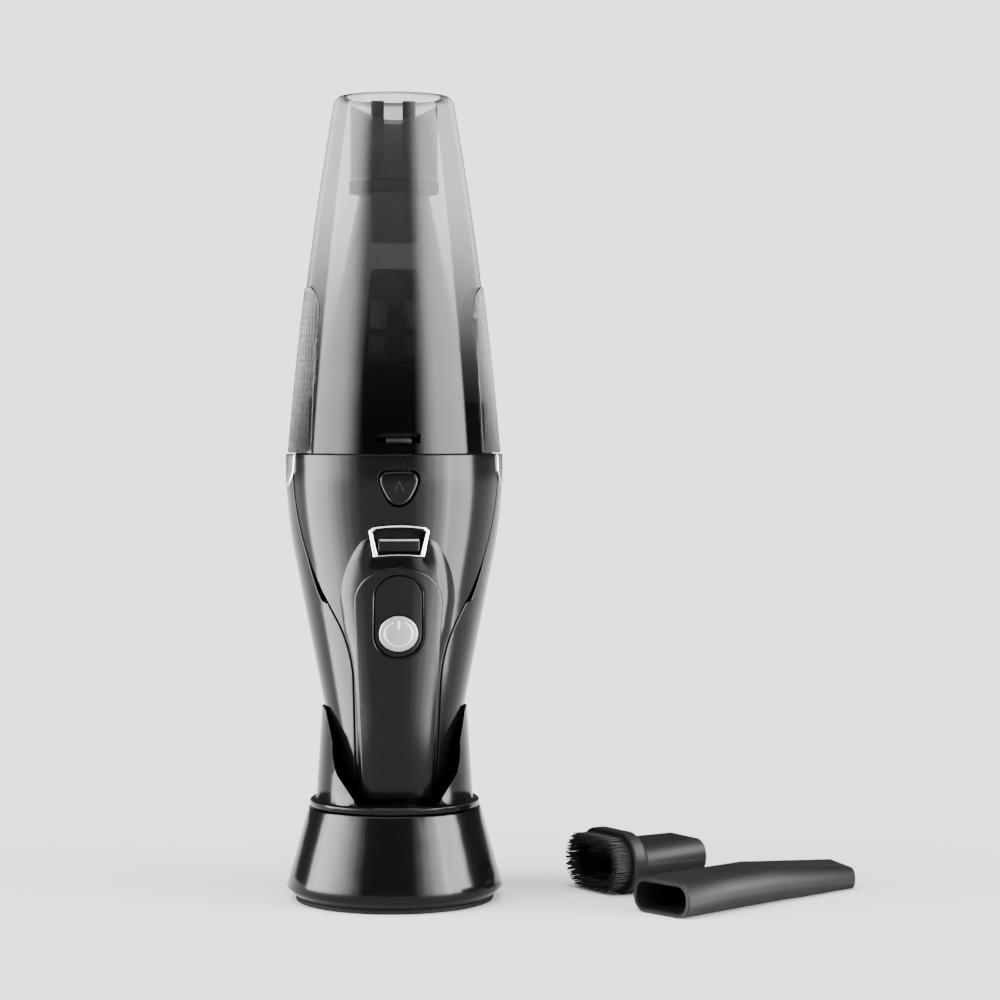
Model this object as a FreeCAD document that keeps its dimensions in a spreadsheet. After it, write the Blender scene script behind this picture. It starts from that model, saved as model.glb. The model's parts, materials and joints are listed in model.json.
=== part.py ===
"""Cordless handheld vacuum standing in its charging dock, with its brush and crevice tool.

Frame: millimetres, +Z up, origin at the centre of the dock's underside.
The buttons face -Y and +X is to the right as seen from the front.
The dock, the handle, the belly and the dust cup all share the Z axis.
"""
import FreeCAD, Part
import math
import os
import Sketcher

doc = FreeCAD.newDocument("HandheldVacuum")

# ---------------------------------------------------------------- driving sizes
DRIVING_SIZES = [
    # the dock
    ("foot_radius", 49.5, "rubber foot ring, outer radius"),
    ("foot_width", 6.0, "rubber foot ring, width"),
    ("foot_thickness", 2.5, "rubber foot ring, thickness"),
    ("skirt_foot_radius", 54.0, "dock skirt, widest radius"),
    ("skirt_foot_height", 7.0, "dock skirt, height of its widest edge"),
    ("skirt_top_radius", 43.2, "dock skirt, radius at its top edge"),
    ("skirt_top_height", 46.5, "dock skirt, height of its top edge"),
    ("skirt_wall", 2.4, "dock skirt, wall"),
    ("ledge_radius", 42.4, "cradle ledge, outer radius"),
    ("ledge_thickness", 3.2, "cradle ledge, thickness"),
    ("ledge_gap", 1.0, "shadow gap between skirt and ledge"),
    ("wing_setback", 3.2, "cradle wing, distance in from the ledge's edge"),
    ("wing_tip_gap", 0.86, "gap between the wing's tip and the handle"),
    ("wing_rise", 46.0, "cradle wing, height above the ledge"),
    ("wing_wall", 2.2, "cradle wing, wall at the ledge"),
    ("wing_tip_wall", 1.0, "cradle wing, wall at its tip"),
    ("cradle_gap_half_width", 19.5, "cradle front opening, half width at the ledge"),
    ("socket_clearance", 0.8, "clearance between the handle and the dock"),
    ("socket_wall", 2.2, "wall and floor of the dock's socket"),
    ("cover_thickness", 2.0, "dock bottom cover, thickness"),
    ("board_thickness", 1.6, "circuit boards, thickness"),
    ("pin_radius", 1.5, "charging pin, radius"),
    ("pin_spacing", 14.0, "distance between the two charging pins"),
    ("pin_travel", 1.5, "spring travel of the charging pins"),
    ("contact_block_width", 24.0, "contact block, width"),
    ("contact_block_depth", 10.0, "contact block, depth"),
    ("contact_block_height", 5.0, "contact block, height"),
    ("dock_board_width", 32.0, "dock circuit board, width"),
    ("dock_board_depth", 30.0, "dock circuit board, depth"),
    ("inlet_bore", 6.0, "power inlet, bore"),
    ("inlet_width", 11.0, "power inlet, width of its body"),
    ("inlet_height", 9.0, "power inlet, height of its body"),
    ("inlet_length", 11.5, "power inlet, length of its body"),
    ("inlet_sink", 2.37, "power inlet, how far its face lies inside the skirt"),
    ("inlet_wall_gap", 0.9, "gap between the power inlet's body and the skirt"),
    ("post_radius", 3.6, "screw posts in the dock, radius"),
    # the handle and the belly
    ("handle_end_radius", 20.0, "handle, radius at its lower end"),
    ("handle_end_height", 23.0, "handle, height of its lower end in the dock"),
    ("shoulder_radius", 49.4, "body, radius where the taper ends"),
    ("shoulder_height", 173.0, "body, height where the taper ends"),
    ("shoulder_bow_radius", 226.0, "body, arc between taper and belly"),
    ("belly_radius", 53.5, "body, largest radius"),
    ("belly_height", 210.0, "body, height where the belly starts"),
    ("seam_height", 223.0, "height of the seam between body and dust cup"),
    ("seam_gap", 0.5, "gap at the seam"),
    ("housing_wall", 2.4, "body housings, wall"),
    ("split_gap", 0.3, "gap between neighbouring covers"),
    ("saddle_step", 1.6, "handle saddle, height above the front cover"),
    ("spine_step", 1.6, "handle spine, height above the saddle"),
    ("saddle_half_width", 28.3, "handle saddle, half width"),
    ("saddle_top_height", 187.0, "handle saddle, height of its crown"),
    ("saddle_foot_height", 53.0, "handle saddle, height of its lower end"),
    ("spine_half_width", 20.2, "handle spine, half width at its top"),
    ("spine_top_height", 169.0, "handle spine, height of its crown"),
    ("panel_half_width", 11.1, "switch panel, half width"),
    ("panel_top_height", 165.0, "switch panel, top"),
    ("panel_foot_height", 124.0, "switch panel, bottom"),
    ("power_radius", 8.8, "power button, radius"),
    ("power_travel", 1.2, "power button, travel"),
    ("stem_length", 10.4, "power button, length of its stem"),
    ("switch_width", 12.0, "power switch, width and height"),
    ("switch_depth", 5.0, "power switch, depth"),
    ("main_board_width", 26.0, "main circuit board, width"),
    ("main_board_height", 24.0, "main circuit board, height"),
    ("release_half_width", 9.6, "release button, half width"),
    ("release_top_height", 215.0, "release button, top"),
    ("release_foot_height", 197.5, "release button, bottom"),
    ("release_travel", 3.0, "release button, travel"),
    ("arm_width", 12.0, "release button, width of the arm inside the body"),
    ("arm_thickness", 1.8, "release button, thickness of the arm"),
    ("bezel_half_width", 13.9, "slider bezel, half width at its top"),
    ("bezel_foot_half_width", 11.6, "slider bezel, half width at its bottom"),
    ("bezel_top_height", 188.6, "slider bezel, top"),
    ("bezel_foot_height", 173.6, "slider bezel, bottom"),
    ("bezel_rim", 1.2, "slider bezel, width of its rim"),
    ("slider_length", 6.5, "speed slider, length along the body"),
    ("slider_travel", 3.0, "speed slider, travel"),
    ("trim_half_width", 20.0, "side trim, half width at the seam"),
    ("trim_drop", 16.0, "side trim, height below the seam"),
    ("trim_step", 0.6, "side trim, height above the housing"),
    ("button_clearance", 0.35, "clearance round each button"),
    # the drive and the battery
    ("motor_radius", 18.5, "motor can, radius"),
    ("motor_length", 38.0, "motor can, length"),
    ("motor_foot_height", 151.0, "motor can, height of its lower face"),
    ("shaft_radius", 1.6, "motor shaft, radius"),
    ("shaft_clearance", 0.05, "running clearance round the shaft"),
    ("fan_radius", 31.0, "fan, radius"),
    ("fan_blade_height", 5.0, "fan, height of its blades"),
    ("fan_blade_count", 11, "fan, number of blades"),
    ("fan_gap", 1.5, "running gap round the fan"),
    ("chamber_wall", 2.0, "motor chamber, wall"),
    ("cell_radius", 9.1, "battery cell, radius"),
    ("cell_length", 65.0, "battery cell, length"),
    ("cell_gap", 0.4, "gap between battery cells"),
    ("cell_foot_height", 40.0, "battery cells, height of their lower ends"),
    # the coupling and the filter
    ("spigot_height", 8.0, "coupling ring, height of its spigot above the seam"),
    ("spigot_clearance", 0.4, "clearance between spigot and dust cup"),
    ("spigot_wall", 2.2, "coupling ring, wall"),
    ("seat_radius", 45.5, "filter seat, radius"),
    ("seat_height", 17.0, "filter seat, height"),
    ("seat_wall", 1.8, "filter seat, wall"),
    ("cage_foot_radius", 17.5, "filter cage, radius at the seat"),
    ("cage_top_radius", 12.0, "filter cage, radius at its cap"),
    ("cage_length", 51.0, "filter cage, length from seat to cap"),
    ("cage_wall", 1.4, "filter cage, wall"),
    ("cage_rib_half_width", 4.6, "filter cage, half width of its four ribs"),
    ("cap_length", 15.0, "filter cap, length"),
    ("pleat_depth", 3.0, "filter pleats, depth"),
    ("pleat_count", 28, "filter pleats, number"),
    # the dust cup
    ("cup_foot_radius", 52.3, "dust cup, radius at the seam"),
    ("cup_neck_radius", 30.3, "dust cup, radius below its rim"),
    ("cup_length", 172.0, "dust cup, height from the seam to below its rim"),
    ("cup_bow_radius", 1940.0, "dust cup, arc of its side"),
    ("cup_wall", 2.2, "dust cup, wall"),
    ("rim_drop", 5.0, "dust cup rim, height of its rounded edge"),
    ("rim_inset", 3.0, "dust cup rim, how far it turns in"),
    ("rim_bow_radius", 6.5, "dust cup rim, arc of its edge"),
    ("rib_step", 0.8, "dust cup side panel, height above the cup"),
    ("rib_length", 82.0, "dust cup side panel, height above the seam"),
    ("rib_half_width", 32.0, "dust cup side panel, half width"),
    ("catch_half_width", 10.5, "catch slot, half width"),
    ("catch_rise", 5.0, "catch slot, height of its lower edge above the seam"),
    ("catch_height", 4.8, "catch slot, height"),
    ("mouth_width", 43.4, "inlet socket, width"),
    ("mouth_depth", 24.4, "inlet socket, depth"),
    ("mouth_wall", 2.5, "inlet socket, wall"),
    ("mouth_length", 37.0, "inlet socket, length"),
    ("mouth_setback", 4.0, "inlet socket, drop of its mouth below the rim"),
    ("mouth_dip", 8.5, "inlet socket, depth of the hollow in its front edge"),
    ("gasket_height", 6.5, "socket gasket, height"),
    ("duct_side_gap", 10.5, "inlet duct, distance in from the socket's side"),
    ("duct_face_gap", 0.5, "inlet duct, gap to the socket's inner face"),
    ("duct_wall", 2.0, "inlet duct, wall"),
    ("duct_top_drop", 34.0, "inlet duct, drop of its top below the rim"),
    ("duct_length", 38.0, "inlet duct, length"),
    ("rail_width", 6.5, "duct rail, width"),
    ("rail_depth", 2.6, "duct rail, depth"),
    ("flap_thickness", 1.2, "inlet flap, thickness"),
    ("flap_pin_radius", 1.0, "inlet flap pin, radius"),
    ("cone_top_radius", 17.5, "air cone, radius at its top"),
    ("cone_foot_radius", 35.0, "air cone, radius at its bottom"),
    ("cone_length", 86.0, "air cone, length"),
    ("cone_wall", 1.4, "air cone, wall"),
    # the two loose tools
    ("plug_clearance", 0.35, "clearance between a tool's plug and the socket"),
    ("crevice_length", 142.0, "crevice tool, length"),
    ("crevice_tip_height", 11.0, "crevice tool, height of its tip"),
    ("crevice_slant", 16.0, "crevice tool, slant of its tip"),
    ("tool_wall", 2.0, "loose tools, wall"),
    ("brush_plug_length", 33.0, "brush, length of its plug"),
    ("brush_neck_length", 9.0, "brush, length of its neck"),
    ("brush_head_width", 50.0, "brush head, width"),
    ("brush_head_height", 31.0, "brush head, height"),
    ("brush_head_length", 7.0, "brush head, length"),
    ("bristle_length", 11.0, "brush bristles, length"),
    ("bristle_band", 8.0, "brush bristles, width of their band"),
    # the screws
    ("screw_radius", 1.5, "screws, thread radius"),
    ("screw_head_radius", 2.8, "screws, head radius"),
    ("screw_head_height", 1.6, "screws, head height"),
    ("screw_length", 9.0, "screws, length under the head"),
]


def fill_sheet():
    """Write each driving size as one row: what it is, and its number under its alias."""
    sheet = doc.addObject("Spreadsheet::Sheet", "Sizes")
    for row, (alias, number, meaning) in enumerate(DRIVING_SIZES, start=1):
        sheet.set(f"A{row}", meaning)
        sheet.set(f"B{row}", str(number))
        sheet.setAlias(f"B{row}", alias)
    doc.recompute()
    return sheet


class Size:
    """A length that carries its number and the sheet expression that gives it."""

    def __init__(self, number, text):
        self.number = number
        self.text = text

    def __add__(self, other):
        other = as_size(other)
        return Size(self.number + other.number, f"({self.text} + {other.text})")

    def __sub__(self, other):
        other = as_size(other)
        return Size(self.number - other.number, f"({self.text} - {other.text})")

    def __mul__(self, other):
        other = as_size(other)
        return Size(self.number * other.number, f"({self.text} * {other.text})")

    def __truediv__(self, other):
        other = as_size(other)
        return Size(self.number / other.number, f"({self.text} / {other.text})")

    def __neg__(self):
        return Size(-self.number, f"(-1 * {self.text})")

    def __radd__(self, other):
        return as_size(other) + self

    def __rsub__(self, other):
        return as_size(other) - self

    def __rmul__(self, other):
        return as_size(other) * self


def as_size(value):
    return value if isinstance(value, Size) else Size(float(value), repr(float(value)))


class Sheet:
    """Reads a driving size by its alias: S.cup_wall."""

    def __init__(self, sheet):
        self.sheet = sheet

    def __getattr__(self, alias):
        return Size(float(self.sheet.get(alias)), f"Sizes.{alias}")


S = Sheet(fill_sheet())

# ---------------------------------------------------------------- drawing helpers
ORIGIN_POINT = (-1, 1)
H_AXIS, V_AXIS = -1, -2


def bind(target, path, value):
    """Tie one property of an object to the sheet."""
    target.setExpression(path, as_size(value).text)


def arc_between(start, end, radius, side):
    """The circular arc from start to end that bows to the left (+1) or right (-1) of its chord."""
    (x0, y0), (x1, y1) = start, end
    chord = math.hypot(x1 - x0, y1 - y0)
    lean = math.sqrt(max(radius**2 - (chord / 2) ** 2, 0.0))
    across = ((y0 - y1) / chord, (x1 - x0) / chord)
    centre_x = (x0 + x1) / 2 - side * across[0] * lean
    centre_y = (y0 + y1) / 2 - side * across[1] * lean
    angles = [math.atan2(y - centre_y, x - centre_x) for x, y in (start, end)]
    runs_backwards = side > 0
    if runs_backwards:
        angles.reverse()
    circle = Part.Circle(FreeCAD.Vector(centre_x, centre_y, 0), FreeCAD.Vector(0, 0, 1), radius)
    return Part.ArcOfCircle(circle, *angles), runs_backwards


def draw_outline(sketch, corners):
    """Draw a closed outline. A corner is (x, y) or (x, y, radius, side), which bows the edge after it."""
    count = len(corners)
    ends = []
    for i, corner in enumerate(corners):
        following = corners[(i + 1) % count]
        start = (as_size(corner[0]).number, as_size(corner[1]).number)
        end = (as_size(following[0]).number, as_size(following[1]).number)
        if len(corner) == 2:
            edge = Part.LineSegment(FreeCAD.Vector(*start, 0), FreeCAD.Vector(*end, 0))
            backwards = False
        else:
            edge, backwards = arc_between(start, end, as_size(corner[2]).number, corner[3])
        geo = sketch.addGeometry(edge, False)
        ends.append((geo, 2, 1) if backwards else (geo, 1, 2))
    for i, corner in enumerate(corners):
        geo, start_point, end_point = ends[i]
        next_geo, next_start, _ = ends[(i + 1) % count]
        sketch.addConstraint(Sketcher.Constraint("Coincident", geo, end_point, next_geo, next_start))
        for value, kind, axis in ((corner[0], "DistanceX", V_AXIS), (corner[1], "DistanceY", H_AXIS)):
            value = as_size(value)
            if abs(value.number) < 1e-9:
                sketch.addConstraint(Sketcher.Constraint("PointOnObject", geo, start_point, axis))
                continue
            index = sketch.addConstraint(
                Sketcher.Constraint(kind, *ORIGIN_POINT, geo, start_point, value.number)
            )
            bind(sketch, f"Constraints[{index}]", value)
        if len(corner) > 2:
            radius = as_size(corner[2])
            index = sketch.addConstraint(Sketcher.Constraint("Radius", geo, radius.number))
            bind(sketch, f"Constraints[{index}]", radius)


def draw_circle(sketch, x, y, radius):
    """Draw a circle whose centre and radius are bound to the sheet."""
    x, y, radius = as_size(x), as_size(y), as_size(radius)
    circle = Part.Circle(FreeCAD.Vector(x.number, y.number, 0), FreeCAD.Vector(0, 0, 1), radius.number)
    geo = sketch.addGeometry(circle, False)
    for value, kind, axis in ((x, "DistanceX", V_AXIS), (y, "DistanceY", H_AXIS)):
        if abs(value.number) < 1e-9:
            sketch.addConstraint(Sketcher.Constraint("PointOnObject", geo, 3, axis))
            continue
        index = sketch.addConstraint(Sketcher.Constraint(kind, *ORIGIN_POINT, geo, 3, value.number))
        bind(sketch, f"Constraints[{index}]", value)
    index = sketch.addConstraint(Sketcher.Constraint("Radius", geo, radius.number))
    bind(sketch, f"Constraints[{index}]", radius)


def body_sketch(label, plane, lift=0):
    """A new body and a sketch on one of its origin planes, lifted along the plane's normal."""
    body = doc.addObject("PartDesign::Body", label)
    body.Label = label
    sketch = body.newObject("Sketcher::SketchObject", f"{label}_outline")
    support = next(f for f in body.Origin.OriginFeatures if f.Role == plane)
    sketch.AttachmentSupport = [(support, "")]
    sketch.MapMode = "FlatFace"
    if isinstance(lift, Size) or lift:
        bind(sketch, "AttachmentOffset.Base.z", lift)
    return body, sketch


def turned(label, corners):
    """A solid of revolution about Z, from corners given as (radius, height)."""
    body, sketch = body_sketch(label, "XZ_Plane")
    draw_outline(sketch, corners)
    turn = body.newObject("PartDesign::Revolution", f"{label}_turn")
    turn.Profile = sketch
    turn.ReferenceAxis = (sketch, ["V_Axis"])
    turn.Angle = 360
    return body


def padded(label, plane, outlines, length, lift=0, both_ways=False, reverse=False):
    """A solid pushed out of a plane. Each outline is a list of corners, or ("circle", x, y, radius)."""
    body, sketch = body_sketch(label, plane, lift)
    for outline in outlines:
        if outline[0] == "circle":
            draw_circle(sketch, *outline[1:])
        else:
            draw_outline(sketch, outline)
    pad = body.newObject("PartDesign::Pad", f"{label}_pad")
    pad.Profile = sketch
    bind(pad, "Length", length)
    pad.Midplane = both_ways
    pad.Reversed = reverse
    return body


def combine(kind, label, base, tool):
    made = doc.addObject(f"Part::{kind}", label)
    made.Label = label
    made.Base = base
    made.Tool = tool
    return made


def cut(label, base, tool):
    return combine("Cut", label, base, tool)


def common(label, base, tool):
    return combine("Common", label, base, tool)


def fuse(label, *pieces):
    made = doc.addObject("Part::MultiFuse", label)
    made.Label = label
    made.Shapes = list(pieces)
    return made


def block(label, corner, spans):
    """A box from its lowest corner and its three spans."""
    made = doc.addObject("Part::Box", label)
    made.Label = label
    for name, value in zip(("Length", "Width", "Height"), spans):
        bind(made, name, value)
    for axis, value in zip("xyz", corner):
        bind(made, f"Placement.Base.{axis}", value)
    return made


TURNS = {
    "Z": FreeCAD.Rotation(),
    "X": FreeCAD.Rotation(FreeCAD.Vector(0, 1, 0), 90),
    "Y": FreeCAD.Rotation(FreeCAD.Vector(1, 0, 0), -90),
}


def rod(label, start, radius, length, along="Z"):
    """A cylinder from the middle of its first face."""
    made = doc.addObject("Part::Cylinder", label)
    made.Label = label
    made.Placement = FreeCAD.Placement(FreeCAD.Vector(), TURNS[along])
    bind(made, "Radius", radius)
    bind(made, "Height", length)
    for axis, value in zip("xyz", start):
        bind(made, f"Placement.Base.{axis}", value)
    return made


def mirrored(corners):
    """A symmetric closed outline from its right half, listed from the bottom up."""
    right = list(corners)
    apex = abs(as_size(right[-1][0]).number) < 1e-9
    if apex:
        right[-1] = (*right[-1][:2], *right[-2][2:])
    left = []
    for i in range(len(corners) - (2 if apex else 1), -1, -1):
        x, y = corners[i][:2]
        if abs(as_size(x).number) < 1e-9:
            continue
        bow = corners[i - 1][2:] if i > 0 else ()
        left.append((-as_size(x), y, *bow))
    return right + left


def rounded_box(half_width, half_height, corner_radius, x=0, y=0):
    """A rectangle with round corners, as corners with bowed edges."""
    w, h, r = as_size(half_width), as_size(half_height), as_size(corner_radius)
    x, y = as_size(x), as_size(y)
    return [
        (x + w, y - h + r), (x + w, y + h - r, r, -1),
        (x + w - r, y + h), (x - w + r, y + h, r, -1),
        (x - w, y + h - r), (x - w, y - h + r, r, -1),
        (x - w + r, y - h), (x + w - r, y - h, r, -1),
    ]


KEPT = {}


def keep(node, piece):
    """Mark a finished sub-part: its label is its node's name."""
    piece.Label = node
    KEPT[node] = piece
    return piece


# ---------------------------------------------------------------- shared shapes
def taper_radius(height):
    """The body's radius at a height on its straight taper."""
    rise = (S.shoulder_radius - S.handle_end_radius) / (S.shoulder_height - S.handle_end_height)
    return S.handle_end_radius + (height - S.handle_end_height) * rise


def body_profile(step, foot, top):
    """The body's side, moved out by a step, from a height on the taper up to a height on the belly."""
    return [
        (taper_radius(foot) + step, foot),
        (S.shoulder_radius + step, S.shoulder_height, S.shoulder_bow_radius, -1),
        (S.belly_radius + step, S.belly_height),
        (S.belly_radius + step, top),
    ]


def body_layer(label, inner_step, outer_step):
    """A thin shell that follows the body between two distances from its skin."""
    foot, top = S.handle_end_height, S.seam_height
    inner = body_profile(inner_step, foot, top)
    inner_back = [(*inner[3][:2],), (*inner[2][:2], S.shoulder_bow_radius, 1), inner[1][:2], inner[0][:2]]
    return turned(label, body_profile(outer_step, foot, top) + inner_back)


def cup_foot_height():
    return S.seam_height + S.seam_gap


def cup_neck_height():
    return S.seam_height + S.cup_length


def cup_top_height():
    return cup_neck_height() + S.rim_drop


def cup_radius_near_foot(height):
    """The cup's outer radius close above the seam, where its side is nearly straight."""
    lean = (S.cup_foot_radius - S.cup_neck_radius) / S.cup_length
    bow = (height - cup_foot_height()) * S.cup_length / (2 * S.cup_bow_radius)
    return S.cup_foot_radius - (height - cup_foot_height()) * lean + bow


def front_prism(label, outlines):
    """A prism from the middle plane out through the front of the body."""
    return padded(label, "XZ_Plane", outlines, S.belly_radius * 1.5)


def tulip_outline(gap):
    """The front cover seen from the front: wide at the seam, narrow down the handle."""
    g = as_size(gap)
    return mirrored([
        (S.handle_end_radius - 1.0 - g, S.handle_end_height - 2),
        (S.handle_end_radius + 1.5 - g, S.shoulder_height - 61, 71.0, 1),
        (S.shoulder_radius * 0.587 - g, S.shoulder_height - 32),
        (S.shoulder_radius * 0.739 - g, S.shoulder_height - 18, 150.0, -1),
        (S.belly_radius - 2.9 - g, S.seam_height + 1),
    ])


def saddle_outline(gap):
    """The saddle seen from the front: an arch that runs down between the side housings."""
    g = as_size(gap)
    return mirrored([
        (S.handle_end_radius - 1.6 - g, S.saddle_foot_height),
        (S.handle_end_radius + 0.9 - g, S.shoulder_height - 61, 71.0, 1),
        (26.2 - g, S.shoulder_height - 37),
        (S.saddle_half_width - g, S.shoulder_height - 22, 48.0, -1),
        (S.saddle_half_width - 10.3 - g, S.saddle_top_height - 5 - g, 40.0, -1),
        (0, S.saddle_top_height - g),
    ])


def spine_outline():
    """The raised spine seen from the front: a round-shouldered arch that narrows downwards."""
    return mirrored([
        (S.spine_half_width - 5, S.saddle_foot_height),
        (S.spine_half_width, S.spine_top_height - 18, 17.0, -1),
        (S.spine_half_width - 12, S.spine_top_height - 1.5, 40.0, -1),
        (0, S.spine_top_height),
    ])


def panel_outline(gap):
    """The switch panel seen from the front: a slot with full round ends."""
    half = S.panel_half_width + gap
    straight_top = S.panel_top_height - S.panel_half_width
    straight_foot = S.panel_foot_height + S.panel_half_width
    return [
        (half, straight_foot),
        (half, straight_top, half + 0.01, -1),
        (-half, straight_top),
        (-half, straight_foot, half + 0.01, -1),
    ]


def release_outline(gap):
    """The release button seen from the front: a shield with a flat top and a round foot."""
    half, top, foot = S.release_half_width, S.release_top_height, S.release_foot_height
    return mirrored([
        (4.5 + as_size(gap), foot + 1.0 - gap, 11.0, -1),
        (half + gap, top - 6.0, 5.0, -1),
        (half - 3.5 + gap, top + gap),
    ])


def bezel_outline(inset):
    """The slider bezel seen from the front: wider at its top, with bowed upper and lower edges."""
    top_half, foot_half = S.bezel_half_width - inset, S.bezel_foot_half_width - inset
    top, foot = S.bezel_top_height - inset, S.bezel_foot_height + inset
    return [
        (foot_half, foot),
        (top_half, top - 2.2),
        (top_half - 1.8, top - 0.6, 70.0, -1),
        (-1 * (top_half - 1.8), top - 0.6),
        (-1 * top_half, top - 2.2),
        (-1 * foot_half, foot, 80.0, 1),
    ]


def mouth_outline(inset):
    """The inlet socket seen from above: a flat-sided oval."""
    half_width = S.mouth_width / 2 - inset
    half_depth = S.mouth_depth / 2 - inset
    return rounded_box(half_width, half_depth, half_depth - 1.5)


# ---------------------------------------------------------------- the dock
def dock_foot_ring():
    inner = S.foot_radius - S.foot_width
    return turned("foot_ring", [
        (inner, 0), (S.foot_radius - 0.6, 0), (S.foot_radius, 0.6),
        (S.foot_radius, S.foot_thickness), (inner, S.foot_thickness),
    ])


def dock_skirt():
    wall = S.skirt_wall
    shelf = S.ledge_radius - 8
    return turned("skirt", [
        (S.foot_radius, S.foot_thickness),
        (S.skirt_foot_radius, S.skirt_foot_height),
        (S.skirt_top_radius, S.skirt_top_height - 0.6),
        (S.skirt_top_radius - 0.6, S.skirt_top_height),
        (shelf, S.skirt_top_height),
        (shelf, S.skirt_top_height - wall),
        (S.skirt_top_radius - wall, S.skirt_top_height - wall),
        (S.skirt_foot_radius - wall - 0.4, S.skirt_foot_height + 0.6),
        (S.foot_radius - wall + 0.4, S.foot_thickness + 0.6),
        (S.foot_radius - wall, S.foot_thickness),
    ])


def ledge_foot_height():
    return S.skirt_top_height + S.ledge_gap


def ledge_top_height():
    return ledge_foot_height() + S.ledge_thickness


def wing_top_height():
    return ledge_top_height() + S.wing_rise


def wing_foot_radius():
    return S.ledge_radius - S.wing_setback


def wing_top_radius():
    return taper_radius(wing_top_height()) + S.wing_tip_gap + S.wing_tip_wall


def skirt_radius(height):
    """The skirt's outer radius at a height on its flared side."""
    lean = (S.skirt_foot_radius - S.skirt_top_radius) / (S.skirt_top_height - S.skirt_foot_height)
    return S.skirt_foot_radius - (height - S.skirt_foot_height) * lean


def socket_floor_height():
    return S.handle_end_height - S.socket_clearance - S.pin_travel


def dock_cradle():
    """The socket that takes the handle, the ledge round it and the two wings above."""
    clear, wall = S.socket_clearance, S.socket_wall
    floor, low, high = socket_floor_height(), ledge_foot_height(), ledge_top_height()
    end = S.handle_end_height
    shell = turned("cradle_shell", [
        (0, floor - wall),
        (taper_radius(end) + clear + wall - 1, floor - wall),
        (taper_radius(end) + clear + wall, floor - wall + 1),
        (taper_radius(low) + clear + wall, low - S.ledge_gap),
        (S.ledge_radius - 1.2, low - S.ledge_gap),
        (S.ledge_radius - 1.2, low),
        (S.ledge_radius, low),
        (S.ledge_radius, high - 0.7),
        (S.ledge_radius - 0.7, high),
        (wing_foot_radius(), high),
        (wing_top_radius(), wing_top_height()),
        (wing_top_radius() - S.wing_tip_wall, wing_top_height()),
        (wing_foot_radius() - S.wing_wall, high),
        (taper_radius(high) + clear, high),
        (taper_radius(end) + clear, end),
        (taper_radius(end) + clear, floor),
        (0, floor),
    ])
    half = S.cradle_gap_half_width
    gap = front_prism("cradle_gap", [mirrored([
        (half, high),
        (half + 10.2, high + 14.5, 40.0, -1),
        (half + 12.0, high + 30.0),
        (half + 15.6, wing_top_height() + 1),
    ])])
    opened = cut("cradle_opened", shell, gap)
    x = S.pin_spacing / 2
    bore = S.pin_radius + 0.3
    holes = [rod(f"pin_bore_{side}", (side * x, 0, floor - wall - 1), bore, wall + 2) for side in (-1, 1)]
    return cut("cradle", opened, fuse("pin_bores", *holes))


def dock_bottom_cover():
    radius = S.foot_radius - S.skirt_wall - 0.3
    plate = rod("cover_plate", (0, 0, S.foot_thickness), radius, S.cover_thickness)
    bores = [
        rod(f"cover_bore_{i}", (*dock_screw_place(i), 0), S.screw_radius + 0.2, 4 * S.cover_thickness)
        for i in range(4)
    ]
    return cut("bottom_cover", plate, fuse("cover_bores", *bores))


def dock_screw_place(i):
    """The i-th of four places on a circle inside the dock."""
    reach = S.foot_radius - S.foot_width - 7
    angle = math.pi / 4 + i * math.pi / 2
    return reach * round(math.cos(angle), 6), reach * round(math.sin(angle), 6)


def dock_screw_posts():
    """Four posts that hang from the skirt's shelf and take the bottom cover's screws."""
    low = S.foot_thickness + S.cover_thickness + 0.2
    length = S.skirt_top_height - S.skirt_wall - low
    posts, bores = [], []
    for i in range(4):
        place = dock_screw_place(i)
        posts.append(rod(f"post_{i}", (*place, low), S.post_radius, length))
        bores.append(rod(f"post_bore_{i}", (*place, low - 1), S.screw_radius, S.screw_length + 1))
    return cut("screw_posts", fuse("posts", *posts), fuse("post_bores", *bores))


def screw(label, place, head_height):
    """A screw driven upwards, from its head's outer face."""
    head = rod(f"{label}_head", (*place, head_height), S.screw_head_radius, S.screw_head_height)
    shank = rod(f"{label}_shank", (*place, head_height), S.screw_radius, S.screw_length)
    return fuse(label, head, shank)


def dock_screws():
    drive = S.foot_thickness - S.screw_head_height
    screws = [screw(f"dock_screw_{i}", dock_screw_place(i), drive) for i in range(4)]
    return fuse("dock_screw_group", *screws)


def contact_block():
    """The block under the socket's floor that guides the two charging pins."""
    width, depth, height = S.contact_block_width, S.contact_block_depth, S.contact_block_height
    low = socket_floor_height() - S.socket_wall - height
    body = block("contact_body", (-1 * width / 2, -1 * depth / 2, low), (width, depth, height))
    bore = S.pin_radius + 0.05
    bores = [
        rod(f"contact_bore_{side}", (side * S.pin_spacing / 2, 0, low + 1.4), bore, height)
        for side in (-1, 1)
    ]
    return cut("contact_block_body", body, fuse("contact_bores", *bores))


def charging_pins():
    """Two pins that stand on springs and touch the pads in the handle's end."""
    foot = socket_floor_height() - S.socket_wall - 1.6
    length = S.handle_end_height - foot - 0.02
    return fuse("pins", *[
        rod(f"pin_{side}", (side * S.pin_spacing / 2, 0, foot), S.pin_radius, length) for side in (-1, 1)
    ])


def dock_board():
    top = socket_floor_height() - S.socket_wall - S.contact_block_height
    width, depth, thick = S.dock_board_width, S.dock_board_depth, S.board_thickness
    return block("dock_board_plate", (-1 * width / 2, -0.3 * depth, top - thick), (width, depth, thick))


def inlet_axis_height():
    return socket_floor_height() - S.socket_wall - S.contact_block_height - 2.0


def inlet_face():
    """How far back the jack's face lies, just inside the skirt's skin."""
    return skirt_radius(inlet_axis_height()) - S.inlet_sink


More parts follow.
